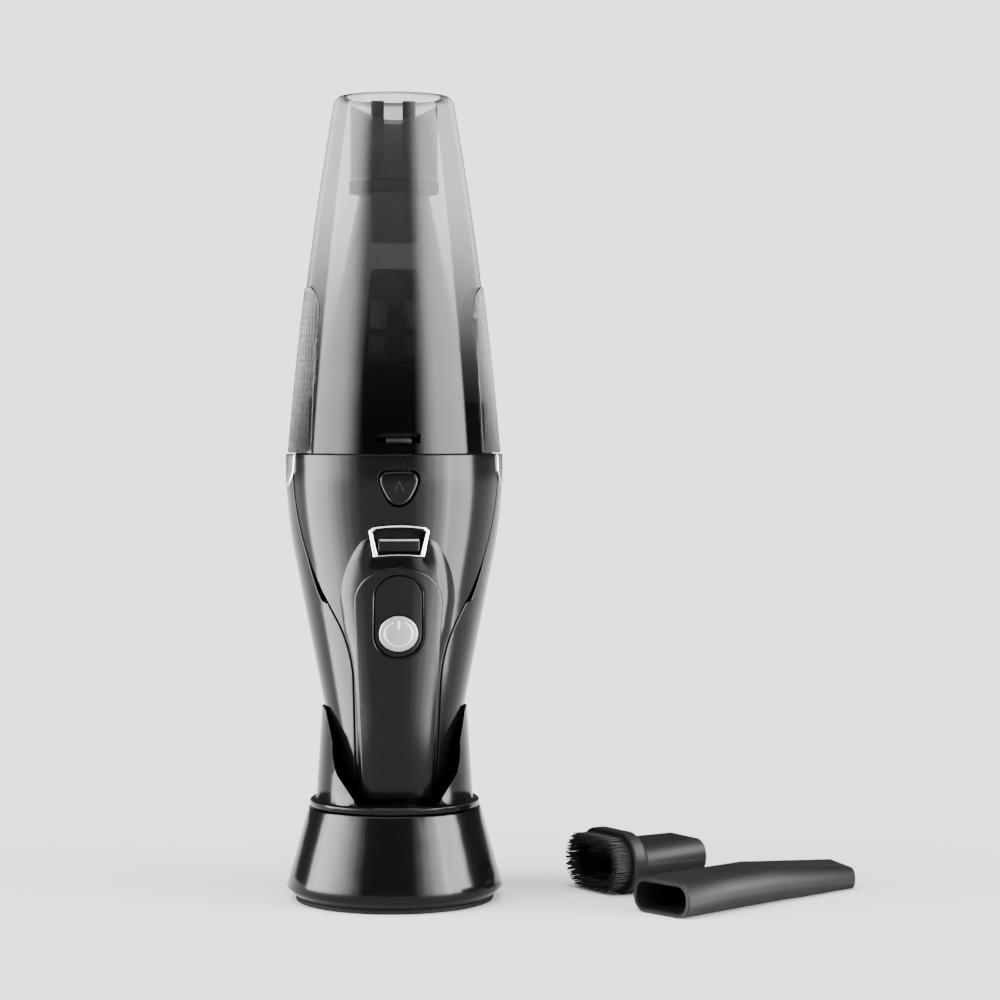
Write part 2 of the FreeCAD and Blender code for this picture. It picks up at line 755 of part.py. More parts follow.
def power_inlet():
    """The jack at the back of the dock, with its bore open to the rear."""
    height, face, length = inlet_axis_height(), inlet_face(), S.inlet_length
    body_top = height + S.inlet_height / 2
    body_end = skirt_radius(body_top) - S.skirt_wall * 1.133 - S.inlet_wall_gap
    body = block(
        "inlet_body",
        (-1 * S.inlet_width / 2, body_end - length, height - S.inlet_height / 2),
        (S.inlet_width, length, S.inlet_height),
    )
    nose_start = body_end - 0.1
    nose = rod("inlet_nose", (0, nose_start, height), S.inlet_bore / 2 + 1.2, face + 0.8 - nose_start, "Y")
    bore = rod("inlet_hole", (0, face - 10, height), S.inlet_bore / 2, 12, "Y")
    return cut("inlet", fuse("inlet_solid", body, nose), bore)


def inlet_window():
    """The hole through the skirt that the jack's nose stands in."""
    start = inlet_face() - 10
    return rod("inlet_window", (0, start, inlet_axis_height()), S.inlet_bore / 2 + 1.3, 20, "Y")


def build_dock():
    keep("dock_foot_ring", dock_foot_ring())
    skirt = cut("skirt_with_window", dock_skirt(), inlet_window())
    keep("dock_skirt", fuse("skirt_with_posts", skirt, dock_screw_posts()))
    keep("dock_cradle", dock_cradle())
    keep("dock_bottom_cover", dock_bottom_cover())
    keep("dock_screws", dock_screws())
    keep("dock_contact_block", contact_block())
    keep("charging_pins", charging_pins())
    keep("dock_circuit_board", dock_board())
    keep("power_inlet", power_inlet())


# ---------------------------------------------------------------- the body's covers
def side_band(label, corners):
    """A prism along X, right across the body, from an outline seen from the side as (y, height)."""
    return padded(label, "YZ_Plane", [corners], S.belly_radius * 3, both_ways=True)


def half_space(label, side):
    """Everything on one side of the middle plane, short of it by half the split gap."""
    reach = S.belly_radius * 1.5
    start = S.split_gap / 2 if side > 0 else -1 * (S.split_gap / 2) - reach
    return block(label, (start, -1 * reach, 0), (reach, 2 * reach, S.seam_height + 5))


def exhaust_slots():
    """Slanted rows of slots through the back of both housings, for the air that leaves the fan."""
    slots = []
    for row in range(5):
        low = S.shoulder_height - 24 + row * 9
        for column in (-2, -1, 1, 2):
            slots.append(block(f"slot_{row}_{column}", (column * 11 - 4, 20, low), (8, S.belly_radius, 3.2)))
    return fuse("exhaust_slots", *slots)


def build_covers():
    wall = S.housing_wall
    shell = body_layer("body_shell", -1 * wall, 0)
    end_plate = rod("handle_end_plate", (0, 0, S.handle_end_height), S.handle_end_radius - wall, wall)
    low = S.handle_end_height - 1
    bores = [
        rod(f"pad_bore_{side}", (side * S.pin_spacing / 2, 0, low), pad_radius(), wall + 2)
        for side in (-1, 1)
    ]
    keep("handle_end_plate", cut("end_plate", end_plate, fuse("pad_bores", *bores)))
    slider_window = front_prism("slider_window", [bezel_outline(S.bezel_rim + 0.3)])
    release_window = front_prism("release_window", [release_outline(S.button_clearance)])
    stem_start = (0, -1 * S.belly_radius, power_height())
    stem_bore = rod("stem_bore", stem_start, stem_radius() + 0.5, S.belly_radius, "Y")
    tulip = common("front_cover_blank", shell, front_prism("tulip", [tulip_outline(S.split_gap)]))
    openings = fuse("cover_openings", slider_window, release_window, stem_bore)
    keep("front_cover", cut("cover", tulip, openings))
    rest = cut("housing_blank", shell, front_prism("tulip_gap", [tulip_outline(0)]))
    bossed = cut("bored_housing", fuse("bossed_housing", rest, housing_bosses()), housing_screw_bores())
    vented = cut("vented_housing", bossed, exhaust_slots())
    keep("left_housing", common("left", vented, half_space("left_half", -1)))
    keep("right_housing", common("right", vented, half_space("right_half", 1)))
    build_saddle()
    build_trims()


def build_saddle():
    """The raised hood and spine on the handle's front, with the windows of the panel and the bezel."""
    saddle_layer = body_layer("saddle_layer", 0, S.saddle_step)
    spine_layer = body_layer("spine_layer", 0, S.saddle_step + S.spine_step)
    low = common("saddle_low", saddle_layer, front_prism("saddle_prism", [saddle_outline(0.4)]))
    high = common("saddle_high", spine_layer, front_prism("spine_prism", [spine_outline()]))
    openings = fuse(
        "saddle_openings",
        front_prism("panel_window", [panel_outline(0)]),
        front_prism("bezel_window", [bezel_outline(0)]),
    )
    keep("handle_saddle", cut("saddle", fuse("saddle_solid", low, high), openings))


def build_trims():
    """Bright inserts at the two sides of the seam, let in flush round the belly."""
    layer = body_layer("trim_layer", 0, S.trim_step)
    half, top = S.trim_half_width, S.seam_height
    shape = side_band("trim_shape", mirrored([
        (half - 9, top - S.trim_drop, 30.0, -1),
        (half - 1, top - S.trim_drop / 2),
        (half, top - 0.2),
    ]))
    band = common("trim_band", layer, shape)
    for node, side in (("left_trim", -1), ("right_trim", 1)):
        keep(node, common(f"{node}_half", band, half_space(f"{node}_side", side)))


# ---------------------------------------------------------------- buttons
def power_height():
    return S.panel_foot_height + S.panel_half_width + 1.0


def stem_radius():
    return S.power_radius - 3.0


def build_power_switch():
    """The panel, the round button that rides in it and the switch that it presses."""
    step = S.saddle_step + S.spine_step
    blank = common(
        "panel_blank",
        body_layer("panel_layer", 0, step - 0.5),
        front_prism("panel_prism", [panel_outline(-0.2)]),
    )
    height, width = power_height(), S.switch_width
    front = (0, -1.5 * S.belly_radius, height)
    bore = rod("button_bore", front, S.power_radius + S.button_clearance, 1.5 * S.belly_radius, "Y")
    keep("switch_panel", cut("panel", blank, bore))
    disc = rod("button_disc", front, S.power_radius, S.belly_radius, "Y")
    face = common("button_face", body_layer("button_layer", 1.4, step + 0.7), disc)
    stem_start = -1 * taper_radius(height) - 2.4
    stem = rod("button_stem", (0, stem_start, height), stem_radius(), S.stem_length, "Y")
    keep("power_button", fuse("power_button_solid", face, stem))
    switch_face = stem_start + S.stem_length + S.power_travel + 0.1
    switch_corner = (-1 * width / 2, switch_face, height - width / 2)
    keep("power_switch", block("switch_body", switch_corner, (width, S.switch_depth, width)))
    board_corner = (-1 * S.main_board_width / 2, switch_face + S.switch_depth, height - 14)
    board_spans = (S.main_board_width, S.board_thickness, S.main_board_height)
    keep("main_circuit_board", block("main_board_plate", board_corner, board_spans))


def build_release_button():
    """The release button, with the arm inside the body and the hook that holds the dust cup."""
    face = common(
        "release_face",
        body_layer("release_layer", -1 * S.housing_wall - 1.0, 0.5),
        front_prism("release_prism", [release_outline(0)]),
    )
    inside = S.belly_radius - S.housing_wall - 1.0
    hook_low = catch_foot_height() + 0.4
    hook_top = hook_low + 1.9
    low = S.release_top_height - 12
    left, width = -1 * S.arm_width / 2, S.arm_width
    face_y, front_y = -1 * arm_face(), -1 * inside - 0.5
    arm = block("release_arm", (left, face_y + 0.3, low), (width, S.arm_thickness, hook_top - low))
    bridge_depth = face_y + 0.3 + S.arm_thickness - front_y
    bridge = block("release_bridge", (left, front_y, low), (width, bridge_depth, 8))
    hook = block("release_hook", (left, face_y - 1.5, hook_low), (width, 2.0, hook_top - hook_low))
    keep("release_button", fuse("release_solid", face, bridge, arm, hook))


def catch_foot_height():
    return cup_foot_height() + S.catch_rise


def arm_face():
    """How far forward the release button's arm stands, just inside the dust cup's wall."""
    return cup_radius_near_foot(catch_foot_height()) - S.cup_wall - 0.5


def build_speed_slider():
    """The slider, its bright bezel and the carrier plate behind the cover."""
    ring = front_prism("bezel_ring", [bezel_outline(0.05), bezel_outline(S.bezel_rim)])
    bezel = common("bezel_solid", body_layer("bezel_layer", 0, S.saddle_step + 1.2), ring)
    keep("slider_bezel", bezel)
    foot = S.bezel_foot_height + S.bezel_rim + 1.5
    half = S.bezel_foot_half_width - S.bezel_rim - 0.6
    bar_outline = rounded_box(half, S.slider_length / 2, 1.2, 0, foot + S.slider_length / 2)
    bar = common(
        "slider_bar",
        body_layer("slider_layer", -1 * S.housing_wall - 4.0, S.saddle_step + 0.4),
        front_prism("slider_prism", [bar_outline]),
    )
    carrier_front = -1 * S.shoulder_radius + S.housing_wall + 2.6
    carrier = block(
        "slider_carrier",
        (-1 * half - 3, carrier_front, foot - 3),
        (2 * half + 6, 1.6, S.slider_length + 5 + S.slider_travel),
    )
    keep("speed_slider", fuse("slider_solid", bar, carrier))


# ---------------------------------------------------------------- the drive
def latch_half_width():
    """Half the width of the notches that leave room for the release button's arm."""
    return S.release_half_width + 1.0


def latch_notch_depth():
    """Depth of those notches, from the belly's skin to behind the arm when it is pressed."""
    return S.belly_radius - arm_face() + 0.3 + S.arm_thickness + S.release_travel + 0.8


def chamber_floor_height():
    return S.motor_foot_height - S.chamber_wall - 0.5


def fan_floor_height():
    return S.motor_foot_height + S.motor_length + 4.0


def build_drive():
    """The motor, its chamber, the fan on its shaft and the shroud over the fan."""
    wall = S.chamber_wall
    floor = chamber_floor_height()
    top = S.seam_height - 14
    bucket = S.motor_radius + 8
    bell = S.fan_radius + S.fan_gap
    chamber = turned("chamber", [
        (S.motor_radius - 6, floor), (bucket + wall, floor),
        (bucket + wall, fan_floor_height() - 6), (bell + wall, fan_floor_height() - 1),
        (bell + wall, top - wall), (S.belly_radius - S.housing_wall - 0.3, top - wall),
        (S.belly_radius - S.housing_wall - 0.3, top), (bell, top),
        (bell, fan_floor_height() - 0.6), (bucket, fan_floor_height() - 5.5),
        (bucket, floor + wall), (S.motor_radius - 6, floor + wall),
    ])
    notch_corner = (-1 * latch_half_width(), -1 * S.belly_radius, top - 6)
    notch = block("chamber_notch", notch_corner, (2 * latch_half_width(), latch_notch_depth(), 8))
    keep("motor_chamber", cut("chamber_notched", chamber, notch))
    can = rod("can", (0, 0, S.motor_foot_height), S.motor_radius, S.motor_length)
    tail = rod("can_tail", (0, 0, S.motor_foot_height - 4), 6.0, 4.2)
    bore_radius = S.shaft_radius + S.shaft_clearance
    shaft_bore = rod("can_bore", (0, 0, S.motor_foot_height + 6), bore_radius, S.motor_length)
    keep("motor", cut("motor_solid", fuse("motor_blank", can, tail), shaft_bore))
    ring = turned("mount", [
        (S.motor_radius, S.motor_foot_height + 2), (bucket - 0.05, S.motor_foot_height + 2),
        (bucket - 0.05, S.motor_foot_height + 8), (S.motor_radius, S.motor_foot_height + 8),
    ])
    keep("motor_mount", ring)
    shaft_foot = S.motor_foot_height + 6.2
    keep("motor_shaft", rod("shaft", (0, 0, shaft_foot), S.shaft_radius, fan_top_height() - shaft_foot + 1))
    keep("fan", fan())
    lid = top + 0.05
    dome = turned("shroud", [
        (S.fan_radius * 0.42, lid + 4.0), (S.fan_radius * 0.42 + 2, lid + 2.2),
        (bell + 1, lid), (bell + 1, lid + 1.6), (S.fan_radius * 0.42 + 2, lid + 4.2),
        (S.fan_radius * 0.42 + 1.2, lid + 5.0),
    ])
    keep("fan_shroud", dome)


def fan_top_height():
    return fan_floor_height() + 1.4 + S.fan_blade_height


def fan():
    """A disc with curved blades and a hub bored for the shaft."""
    floor = fan_floor_height() + 0.6
    disc = rod("fan_disc", (0, 0, floor), S.fan_radius, 1.4)
    hub = rod("fan_hub", (0, 0, floor), 5.0, S.fan_blade_height + 1.0)
    blades = []
    count = int(S.fan_blade_count.number)
    for i in range(count):
        angle = 360 / count * i
        root = [round(4.5 * f(math.radians(angle)), 4) for f in (math.cos, math.sin)]
        blade = block(f"blade_{i}", (*root, floor), (S.fan_radius - 6.5, 1.2, S.fan_blade_height + 1.0))
        blade.Placement.Rotation = FreeCAD.Rotation(FreeCAD.Vector(0, 0, 1), angle + 28)
        blades.append(blade)
    bore = rod("fan_bore", (0, 0, floor - 1), S.shaft_radius, S.fan_blade_height + 4)
    return cut("fan_solid", fuse("fan_blank", disc, hub, *blades), bore)


def pad_radius():
    return S.pin_radius + 1.2


def cell_place(i):
    """The i-th of three cells that stand in a triangle."""
    reach = (2 * S.cell_radius + S.cell_gap) / math.sqrt(3)
    angle = math.radians(90 + 120 * i)
    return reach * round(math.cos(angle), 6), reach * round(math.sin(angle), 6)


def build_battery():
    """Three cells, and the two holders that keep them apart and inside the handle."""
    foot = S.cell_foot_height
    top = foot + S.cell_length
    keep("battery_cells", fuse("cells", *[
        rod(f"cell_{i}", (*cell_place(i), foot), S.cell_radius, S.cell_length) for i in range(3)
    ]))
    for node, low, recess in (
        ("battery_holder_bottom", foot - 2.0, foot),
        ("battery_holder_top", top - 3.0, top - 3.5),
    ):
        radius = taper_radius(low) - S.housing_wall - 0.3
        plate = rod(f"{node}_plate", (0, 0, low), radius, 5.0)
        pockets = [
            rod(f"{node}_pocket_{i}", (*cell_place(i), recess), S.cell_radius + 0.05, 3.5) for i in range(3)
        ]
        wire_way = rod(f"{node}_wire_way", (0, 0, low - 1), 1.4, 8)
        keep(node, cut(f"{node}_solid", plate, fuse(f"{node}_tools", wire_way, *pockets)))
    pads = [
        rod(f"pad_{side}", (side * S.pin_spacing / 2, 0, S.handle_end_height), pad_radius(), 3.0)
        for side in (-1, 1)
    ]
    keep("charging_pads", fuse("pads", *pads))


def housing_screw_heights():
    return (S.handle_end_height + 38, S.shoulder_height - 61, S.shoulder_height - 33, S.seam_height - 23)


def housing_boss_back(height):
    """How far back a boss stands: its far side is inside the wall."""
    inner = taper_radius(height) - S.housing_wall
    if height.number > S.shoulder_height.number:
        inner = S.belly_radius - S.housing_wall - 1.2
    return inner - 1.0


def housing_bosses():
    """Round posts inside the back of the housings, cut across by the split between them."""
    return fuse("housing_bosses", *[
        rod(f"boss_{i}", (-9, housing_boss_back(height), height), 3.2, 18, "X")
        for i, height in enumerate(housing_screw_heights())
    ])


def housing_screw_bores():
    """Thread bores in the posts and the wide ways that let a driver reach the heads."""
    bores = []
    for i, height in enumerate(housing_screw_heights()):
        back = housing_boss_back(height)
        bores.append(rod(f"thread_bore_{i}", (-7.5, back, height), S.screw_radius, 20, "X"))
        way = S.screw_head_radius + 0.2
        bores.append(rod(f"driver_way_{i}", (5.0, back, height), way, S.belly_radius, "X"))
    return fuse("housing_screw_bores", *bores)


def build_housing_screws():
    """Four screws that draw the right housing to the left one."""
    outer_face = 5.0 + S.screw_head_height
    keep("housing_screws", fuse("housing_screw_group", *[
        fuse(
            f"housing_screw_{i}",
            rod(f"housing_head_{i}", (5.0, housing_boss_back(height), height), S.screw_head_radius,
                S.screw_head_height, "X"),
            rod(f"housing_shank_{i}", (outer_face - S.screw_length, housing_boss_back(height), height),
                S.screw_radius, S.screw_length, "X"),
        )
        for i, height in enumerate(housing_screw_heights())
    ]))


# ---------------------------------------------------------------- the coupling and the filter
def build_coupling():
    """The ring at the top of the body that the dust cup slips over, and its seal."""
    seam, wall = S.seam_height, S.spigot_wall
    cup_inner = cup_radius_near_foot(seam + S.spigot_height) - S.cup_wall
    spigot = cup_inner - S.spigot_clearance
    inner = S.belly_radius - S.housing_wall
    top = seam + S.spigot_height
    ring = turned("coupling", [
        (spigot - wall, seam - 12), (inner, seam - 12), (inner, seam - 1.0),
        (spigot, seam - 1.0), (spigot, top - 2.2), (spigot - 0.9, top - 2.2),
        (spigot - 0.9, top), (spigot - wall, top),
    ])
    half = latch_half_width()
    notch_spans = (2 * half, latch_notch_depth(), S.spigot_height + 14)
    notch = block("latch_notch", (-1 * half, -1 * S.belly_radius, seam - 13), notch_spans)
    keep("coupling_ring", cut("coupling_notched", ring, notch))
    seal = turned("seal", [
        (spigot - 0.9, top - 2.15), (spigot + 0.1, top - 2.15),
        (spigot + 0.1, top - 0.6), (spigot - 0.9, top - 0.6),
    ])
    gap = block("seal_notch", (-1 * half, -1 * S.belly_radius, seam), notch_spans)
    keep("cup_seal", cut("seal_cut", seal, gap))


def seat_foot_height():
    return S.seam_height + S.spigot_height + 0.3


def build_filter():
    """The filter: a seat that closes the body, a cage with windows, and pleats behind them."""
    foot = seat_foot_height()
    top = foot + S.seat_height
    radius, wall = S.seat_radius, S.seat_wall
    hole = S.cage_foot_radius - S.cage_wall - S.pleat_depth - 1
    keep("filter_seat", turned("seat", [
        (radius - wall, foot), (radius, foot), (radius, top - 1.2), (radius - 1.2, top), (hole, top),
        (hole, top - wall), (radius - wall, top - wall),
    ]))
    cage_top = top + S.cage_length + S.cap_length
    window_top = top + S.cage_length
    lean = (S.cage_foot_radius - S.cage_top_radius) / (S.cage_length + S.cap_length)
    cone = turned("cage_cone", [
        (S.cage_foot_radius - S.cage_wall, top), (S.cage_foot_radius, top),
        (S.cage_top_radius, cage_top - 1.5), (S.cage_top_radius - 1.5, cage_top), (0, cage_top),
        (0, cage_top - S.cage_wall), (S.cage_top_radius - S.cage_wall, cage_top - S.cage_wall - 0.5),
    ])
    rib = S.cage_rib_half_width
    reach = 2 * S.cage_foot_radius
    windows = []
    for row, (low, height) in enumerate(((top + 22, 11), (top + 36, 14))):
        for across in (rib, -1 * rib - reach):
            for away in (rib, -1 * rib - reach):
                label = f"window_{row}_{len(windows)}"
                windows.append(block(label, (across, away, low), (reach, reach, height)))
    keep("filter_cage", cut("cage", cone, fuse("cage_windows", *windows)))
    keep("filter_pleats", pleats(top + 0.1, window_top - 0.2, lean))


def pleats(low, high, lean):
    """A cone of folded paper: a zigzag ring at its foot lofted to a smaller one at its top."""
    rings = []
    count = int(S.pleat_count.number)
    for height in (low, high):
        outer = (S.cage_foot_radius - (height - low) * lean - S.cage_wall - 0.25).number
        inner = outer - S.pleat_depth.number
        corners = []
        for i in range(2 * count):
            radius = outer if i % 2 == 0 else inner
            angle = math.pi * i / count
            corners.append(FreeCAD.Vector(radius * math.cos(angle), radius * math.sin(angle), height.number))
        rings.append(Part.makePolygon(corners + corners[:1]))
    solid = Part.makeLoft(rings, True, True)
    bore = Part.makeCone(
        (S.cage_foot_radius - S.cage_wall - S.pleat_depth - 1.6).number,
        (S.cage_foot_radius - (high - low) * lean - S.cage_wall - S.pleat_depth - 1.6).number,
        (high - low).number,
        FreeCAD.Vector(0, 0, low.number),
    )
    holder = doc.addObject("Part::Feature", "pleat_paper")
    holder.Shape = solid.cut(bore)
    return holder


# ---------------------------------------------------------------- the dust cup
def cup_profile(step, foot):
    """The cup's side and rounded rim, moved out by a step."""
    return [
        (S.cup_foot_radius + step, foot, S.cup_bow_radius, -1),
        (S.cup_neck_radius + step, cup_neck_height(), S.rim_bow_radius, -1),
        (S.cup_neck_radius - S.rim_inset + step, cup_top_height()),
    ]


def build_cup():
    wall = S.cup_wall
    foot = cup_foot_height()
    outer = cup_profile(0, foot)
    inner = [
        (S.cup_neck_radius - S.rim_inset - wall, cup_top_height(), S.rim_bow_radius, 1),
        (S.cup_neck_radius - wall, cup_neck_height(), S.cup_bow_radius, 1),
        (S.cup_foot_radius - wall, foot),
    ]
    shell = turned("cup_wall_shell", outer + inner)
    layer = turned("cup_panel_layer", [
        (S.cup_foot_radius + S.rib_step, foot, S.cup_bow_radius, -1),
        (S.cup_neck_radius + S.rib_step, cup_neck_height()),
        (S.cup_neck_radius - wall / 2, cup_neck_height(), S.cup_bow_radius, 1),
        (S.cup_foot_radius - wall / 2, foot),
    ])
    panels = common("cup_panels", layer, side_band("panel_shape", mirrored([
        (S.rib_half_width, foot),
        (S.rib_half_width - 6, foot + S.rib_length - 14, 16.0, -1),
        (S.rib_half_width - 18, foot + S.rib_length),
    ])))
    slot_low = foot + S.catch_rise
    slot = block(
        "catch_slot", (-1 * S.catch_half_width, -1.5 * S.cup_foot_radius, slot_low),
        (2 * S.catch_half_width, S.cup_foot_radius, S.catch_height),
    )
    keep("dust_cup", cut("cup_slotted", fuse("cup_blank", shell, panels), slot))
    build_inlet()


def mouth_top_height():
    return cup_top_height() - S.mouth_setback


def mouth_foot_height():
    return mouth_top_height() - S.mouth_length


def oval_tube(label, low, length, outer_inset, inner_inset):
    outlines = [mouth_outline(outer_inset), mouth_outline(inner_inset)]
    return padded(label, "XY_Plane", outlines, length, lift=low)


def build_inlet():
    """The socket for the tools, its gasket, the duct that leads the dirt in, the flap and the air cone."""
    foot, top = mouth_foot_height(), mouth_top_height()
    tube = oval_tube("mouth_tube", foot, S.mouth_length, 0, S.mouth_wall)
    half = S.mouth_width / 2
    hollow = front_prism("mouth_hollow", [[
        (half - 0.7, top + 1, (half * half + S.mouth_dip * S.mouth_dip) / (2 * S.mouth_dip), -1),
        (-1 * (half - 0.7), top + 1),
    ]])
    keep("inlet_socket", cut("socket", tube, hollow))
    gasket_low = foot - S.gasket_height - 0.6
    plate = padded("gasket_plate", "XY_Plane", [mouth_outline(-0.6), mouth_outline(S.mouth_wall)],
                   S.gasket_height, lift=gasket_low)
    keep("socket_gasket", plate)
    build_duct()
    cone_top = gasket_low - 0.2
    cone_low = cone_top - S.cone_length
    keep("air_cone", turned("cone", [
        (S.cone_foot_radius - S.cone_wall, cone_low), (S.cone_foot_radius, cone_low),
        (S.cone_top_radius, cone_top), (S.cone_top_radius - S.cone_wall, cone_top),
    ]))


def duct_half_width():
    return S.mouth_width / 2 - S.duct_side_gap


def duct_half_depth():
    return S.mouth_depth / 2 - S.mouth_wall - S.duct_face_gap


def duct_top_height():
    return cup_top_height() - S.duct_top_drop


def build_duct():
    top = duct_top_height()
    low = top - S.duct_length
    w, d, wall = duct_half_width(), duct_half_depth(), S.duct_wall
    walls = [rounded_box(w, d, 1.5), rounded_box(w - wall, d - wall, 1.0)]
    tube = padded("duct_tube", "XY_Plane", walls, S.duct_length, lift=low)
    rails = [
        block(f"rail_{side}", (side * (w - S.rail_width / 2) - S.rail_width / 2, d - S.rail_depth, top - 1),
              (S.rail_width, S.rail_depth, mouth_top_height() - top + 4))
        for side in (-1, 1)
    ]
    keep("inlet_duct", fuse("duct", tube, *rails))
    pin_start = (-1 * w + wall, flap_back(), flap_height())
    keep("flap_pin", rod("pin", pin_start, S.flap_pin_radius, 2 * (w - wall), "X"))
    reach = flap_back() + d - wall - 0.6
    plate_corner = (-1 * w + wall + 0.4, -1 * d + wall + 0.5, flap_height() - S.flap_thickness / 2)
    plate = block("flap_plate", plate_corner, (2 * (w - wall) - 0.8, reach, S.flap_thickness))
    knuckle = rod("flap_knuckle", (-1 * w + wall + 0.4, flap_back(), flap_height()), S.flap_pin_radius + 0.8,
                  2 * (w - wall) - 0.8, "X")
    bore = rod("flap_bore", (-1 * w, flap_back(), flap_height()), S.flap_pin_radius + 0.05, 2 * w, "X")
    keep("inlet_flap", cut("flap", fuse("flap_solid", plate, knuckle), bore))


def flap_back():
    return duct_half_depth() - S.duct_wall - S.flap_pin_radius - 1.2


def flap_height():
    return duct_top_height() - 4.0


# ---------------------------------------------------------------- the two loose tools
BRUSH_PLACE = FreeCAD.Placement(FreeCAD.Vector(152, 34, 0), FreeCAD.Rotation(FreeCAD.Vector(0, 0, 1), 208))
CREVICE_PLACE = FreeCAD.Placement(FreeCAD.Vector(126, -62, 0), FreeCAD.Rotation(FreeCAD.Vector(0, 0, 1), 38))


def plug_half(axis_size):
    return axis_size / 2 - S.mouth_wall - S.plug_clearance


def placed(node, piece, place):
    """Lay a tool that is modelled along +X at the origin in its place on the floor."""
    doc.recompute()
    laid = doc.addObject("Part::Feature", f"{node}_laid")
    laid.Shape = piece.Shape.copy()
    laid.Placement = place.multiply(laid.Placement)
    return keep(node, laid)


def build_crevice_tool():
    """A flat tube that thins towards a slanted tip, lying on its flat side."""
    half_width, half_height = plug_half(S.mouth_width), plug_half(S.mouth_depth)
    length, tip = S.crevice_length, S.crevice_tip_height / 2
    wall = S.tool_wall
    outer = padded("crevice_plan", "XY_Plane", [[
        (0, -1 * half_width), (length - S.crevice_slant, -1 * (half_width - 2.5)),
        (length, half_width - 2.5), (0, half_width),
    ]], 2 * half_height)
    side = padded("crevice_side", "XZ_Plane", [[
        (0, 0), (length, 0), (length, 2 * tip), (length / 2, 2 * half_height), (0, 2 * half_height),
    ]], 4 * half_width, both_ways=True)
    section = padded("crevice_section", "YZ_Plane", [
        rounded_box(half_width, half_height, half_height - 1.0, 0, half_height),
    ], length)
    solid = common("crevice_solid", common("crevice_thinned", outer, side), section)
    bore_plan = padded("crevice_bore_plan", "XY_Plane", [[
        (-1, -1 * (half_width - wall)), (length + 1, -1 * (half_width - wall - 2.5)),
        (length + 1, half_width - wall - 2.5), (-1, half_width - wall),
    ]], 2 * half_height)
    bore_side = padded("crevice_bore_side", "XZ_Plane", [[
        (-1, wall), (length + 1, wall), (length + 1, 2 * tip - wall),
        (length / 2, 2 * half_height - wall), (-1, 2 * half_height - wall),
    ]], 4 * half_width, both_ways=True)
    bore_section = padded("crevice_bore_section", "YZ_Plane", [
        rounded_box(half_width - wall, half_height - wall, half_height - wall - 1.0, 0, half_height),
    ], length + 1)
    bore = common("crevice_bore", common("crevice_bore_thinned", bore_plan, bore_side), bore_section)
    placed("crevice_tool", cut("crevice", solid, bore), CREVICE_PLACE)


def build_brush():
    """A plug, a neck and an oval head with a band of bristles, lying on its flat side."""
    half_width, half_height = plug_half(S.mouth_width), plug_half(S.mouth_depth)
    wall, neck = S.tool_wall, S.brush_neck_length
    head_w, head_h = S.brush_head_width / 2, S.brush_head_height / 2
    middle = head_h
    start = S.brush_plug_length
    plug_section = rounded_box(half_width, half_height, half_height - 1.5, 0, middle)
    plug = padded("brush_plug", "YZ_Plane", [plug_section], start + neck)
    head = padded("brush_head", "YZ_Plane", [rounded_box(head_w, head_h, head_h - 1.0, 0, middle)],
                  S.brush_head_length, lift=start + neck)
    flare = padded("brush_flare", "YZ_Plane",
                   [rounded_box(half_width + 1.5, half_height + 1.5, half_height - 1.0, 0, middle)], neck / 2,
                   lift=start + neck / 2)
    way = padded("brush_way", "YZ_Plane",
                 [rounded_box(half_width - wall, half_height - wall, half_height - wall - 1.0, 0, middle)],
                 start + neck + S.brush_head_length + 2, lift=-1)
    placed("brush_body", cut("brush", fuse("brush_solid", plug, flare, head), way), BRUSH_PLACE)
    band = S.bristle_band
    bristles = padded("bristle_band", "YZ_Plane", [
        rounded_box(head_w - 1.5, head_h - 1.5, head_h - 3.0, 0, middle),
        rounded_box(half_width - wall + 0.5, half_height - wall + 0.5, half_height - wall - 1.0, 0, middle),
    ], S.bristle_length, lift=start + neck + S.brush_head_length)
    placed("brush_bristles", bristles, BRUSH_PLACE)


# ---------------------------------------------------------------- checks and files
def check_document():
    """Stop if any object failed, or if a kept sub-part has no valid shape."""
    doc.recompute()
    failed = [o.Label for o in doc.Objects if {"Invalid", "Error"} & set(o.State)]
    bad = [node for node, piece in KEPT.items() if piece.Shape.isNull() or not piece.Shape.isValid()]
    if failed or bad:
        raise RuntimeError(f"failed objects: {failed}; bad sub-parts: {bad}")


def write_parts():
    os.makedirs("parts", exist_ok=True)
    for node, piece in KEPT.items():
        piece.Shape.exportStep(f"parts/{node}.step")
        box = piece.Shape.BoundBox
        print(
            f"{node}: {len(piece.Shape.Solids)} solids, {piece.Shape.Volume / 1000:.2f} cm3,",
            f"x {box.XMin:.1f}..{box.XMax:.1f} y {box.YMin:.1f}..{box.YMax:.1f}",
            f"z {box.ZMin:.1f}..{box.ZMax:.1f}",
        )


BUILD_STEPS = (
    build_dock, build_covers, build_power_switch, build_release_button, build_speed_slider,
    build_drive, build_battery, build_housing_screws, build_coupling, build_filter, build_cup,
    build_crevice_tool, build_brush,
)
for build_step in BUILD_STEPS:
    build_step()
check_document()
write_parts()
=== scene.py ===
# %% [markdown]
# # A cordless handheld vacuum in its charging dock
# The CAD model is the fixed frame. Each cell below dresses one part of the object: a short
# note says what the real piece is and why it is built this way, and the code then makes it.

# %% Load the frame
import json
import math

import bpy
import bmesh
import numpy as np
from mathutils import Matrix, Vector
from mathutils.geometry import delaunay_2d_cdt


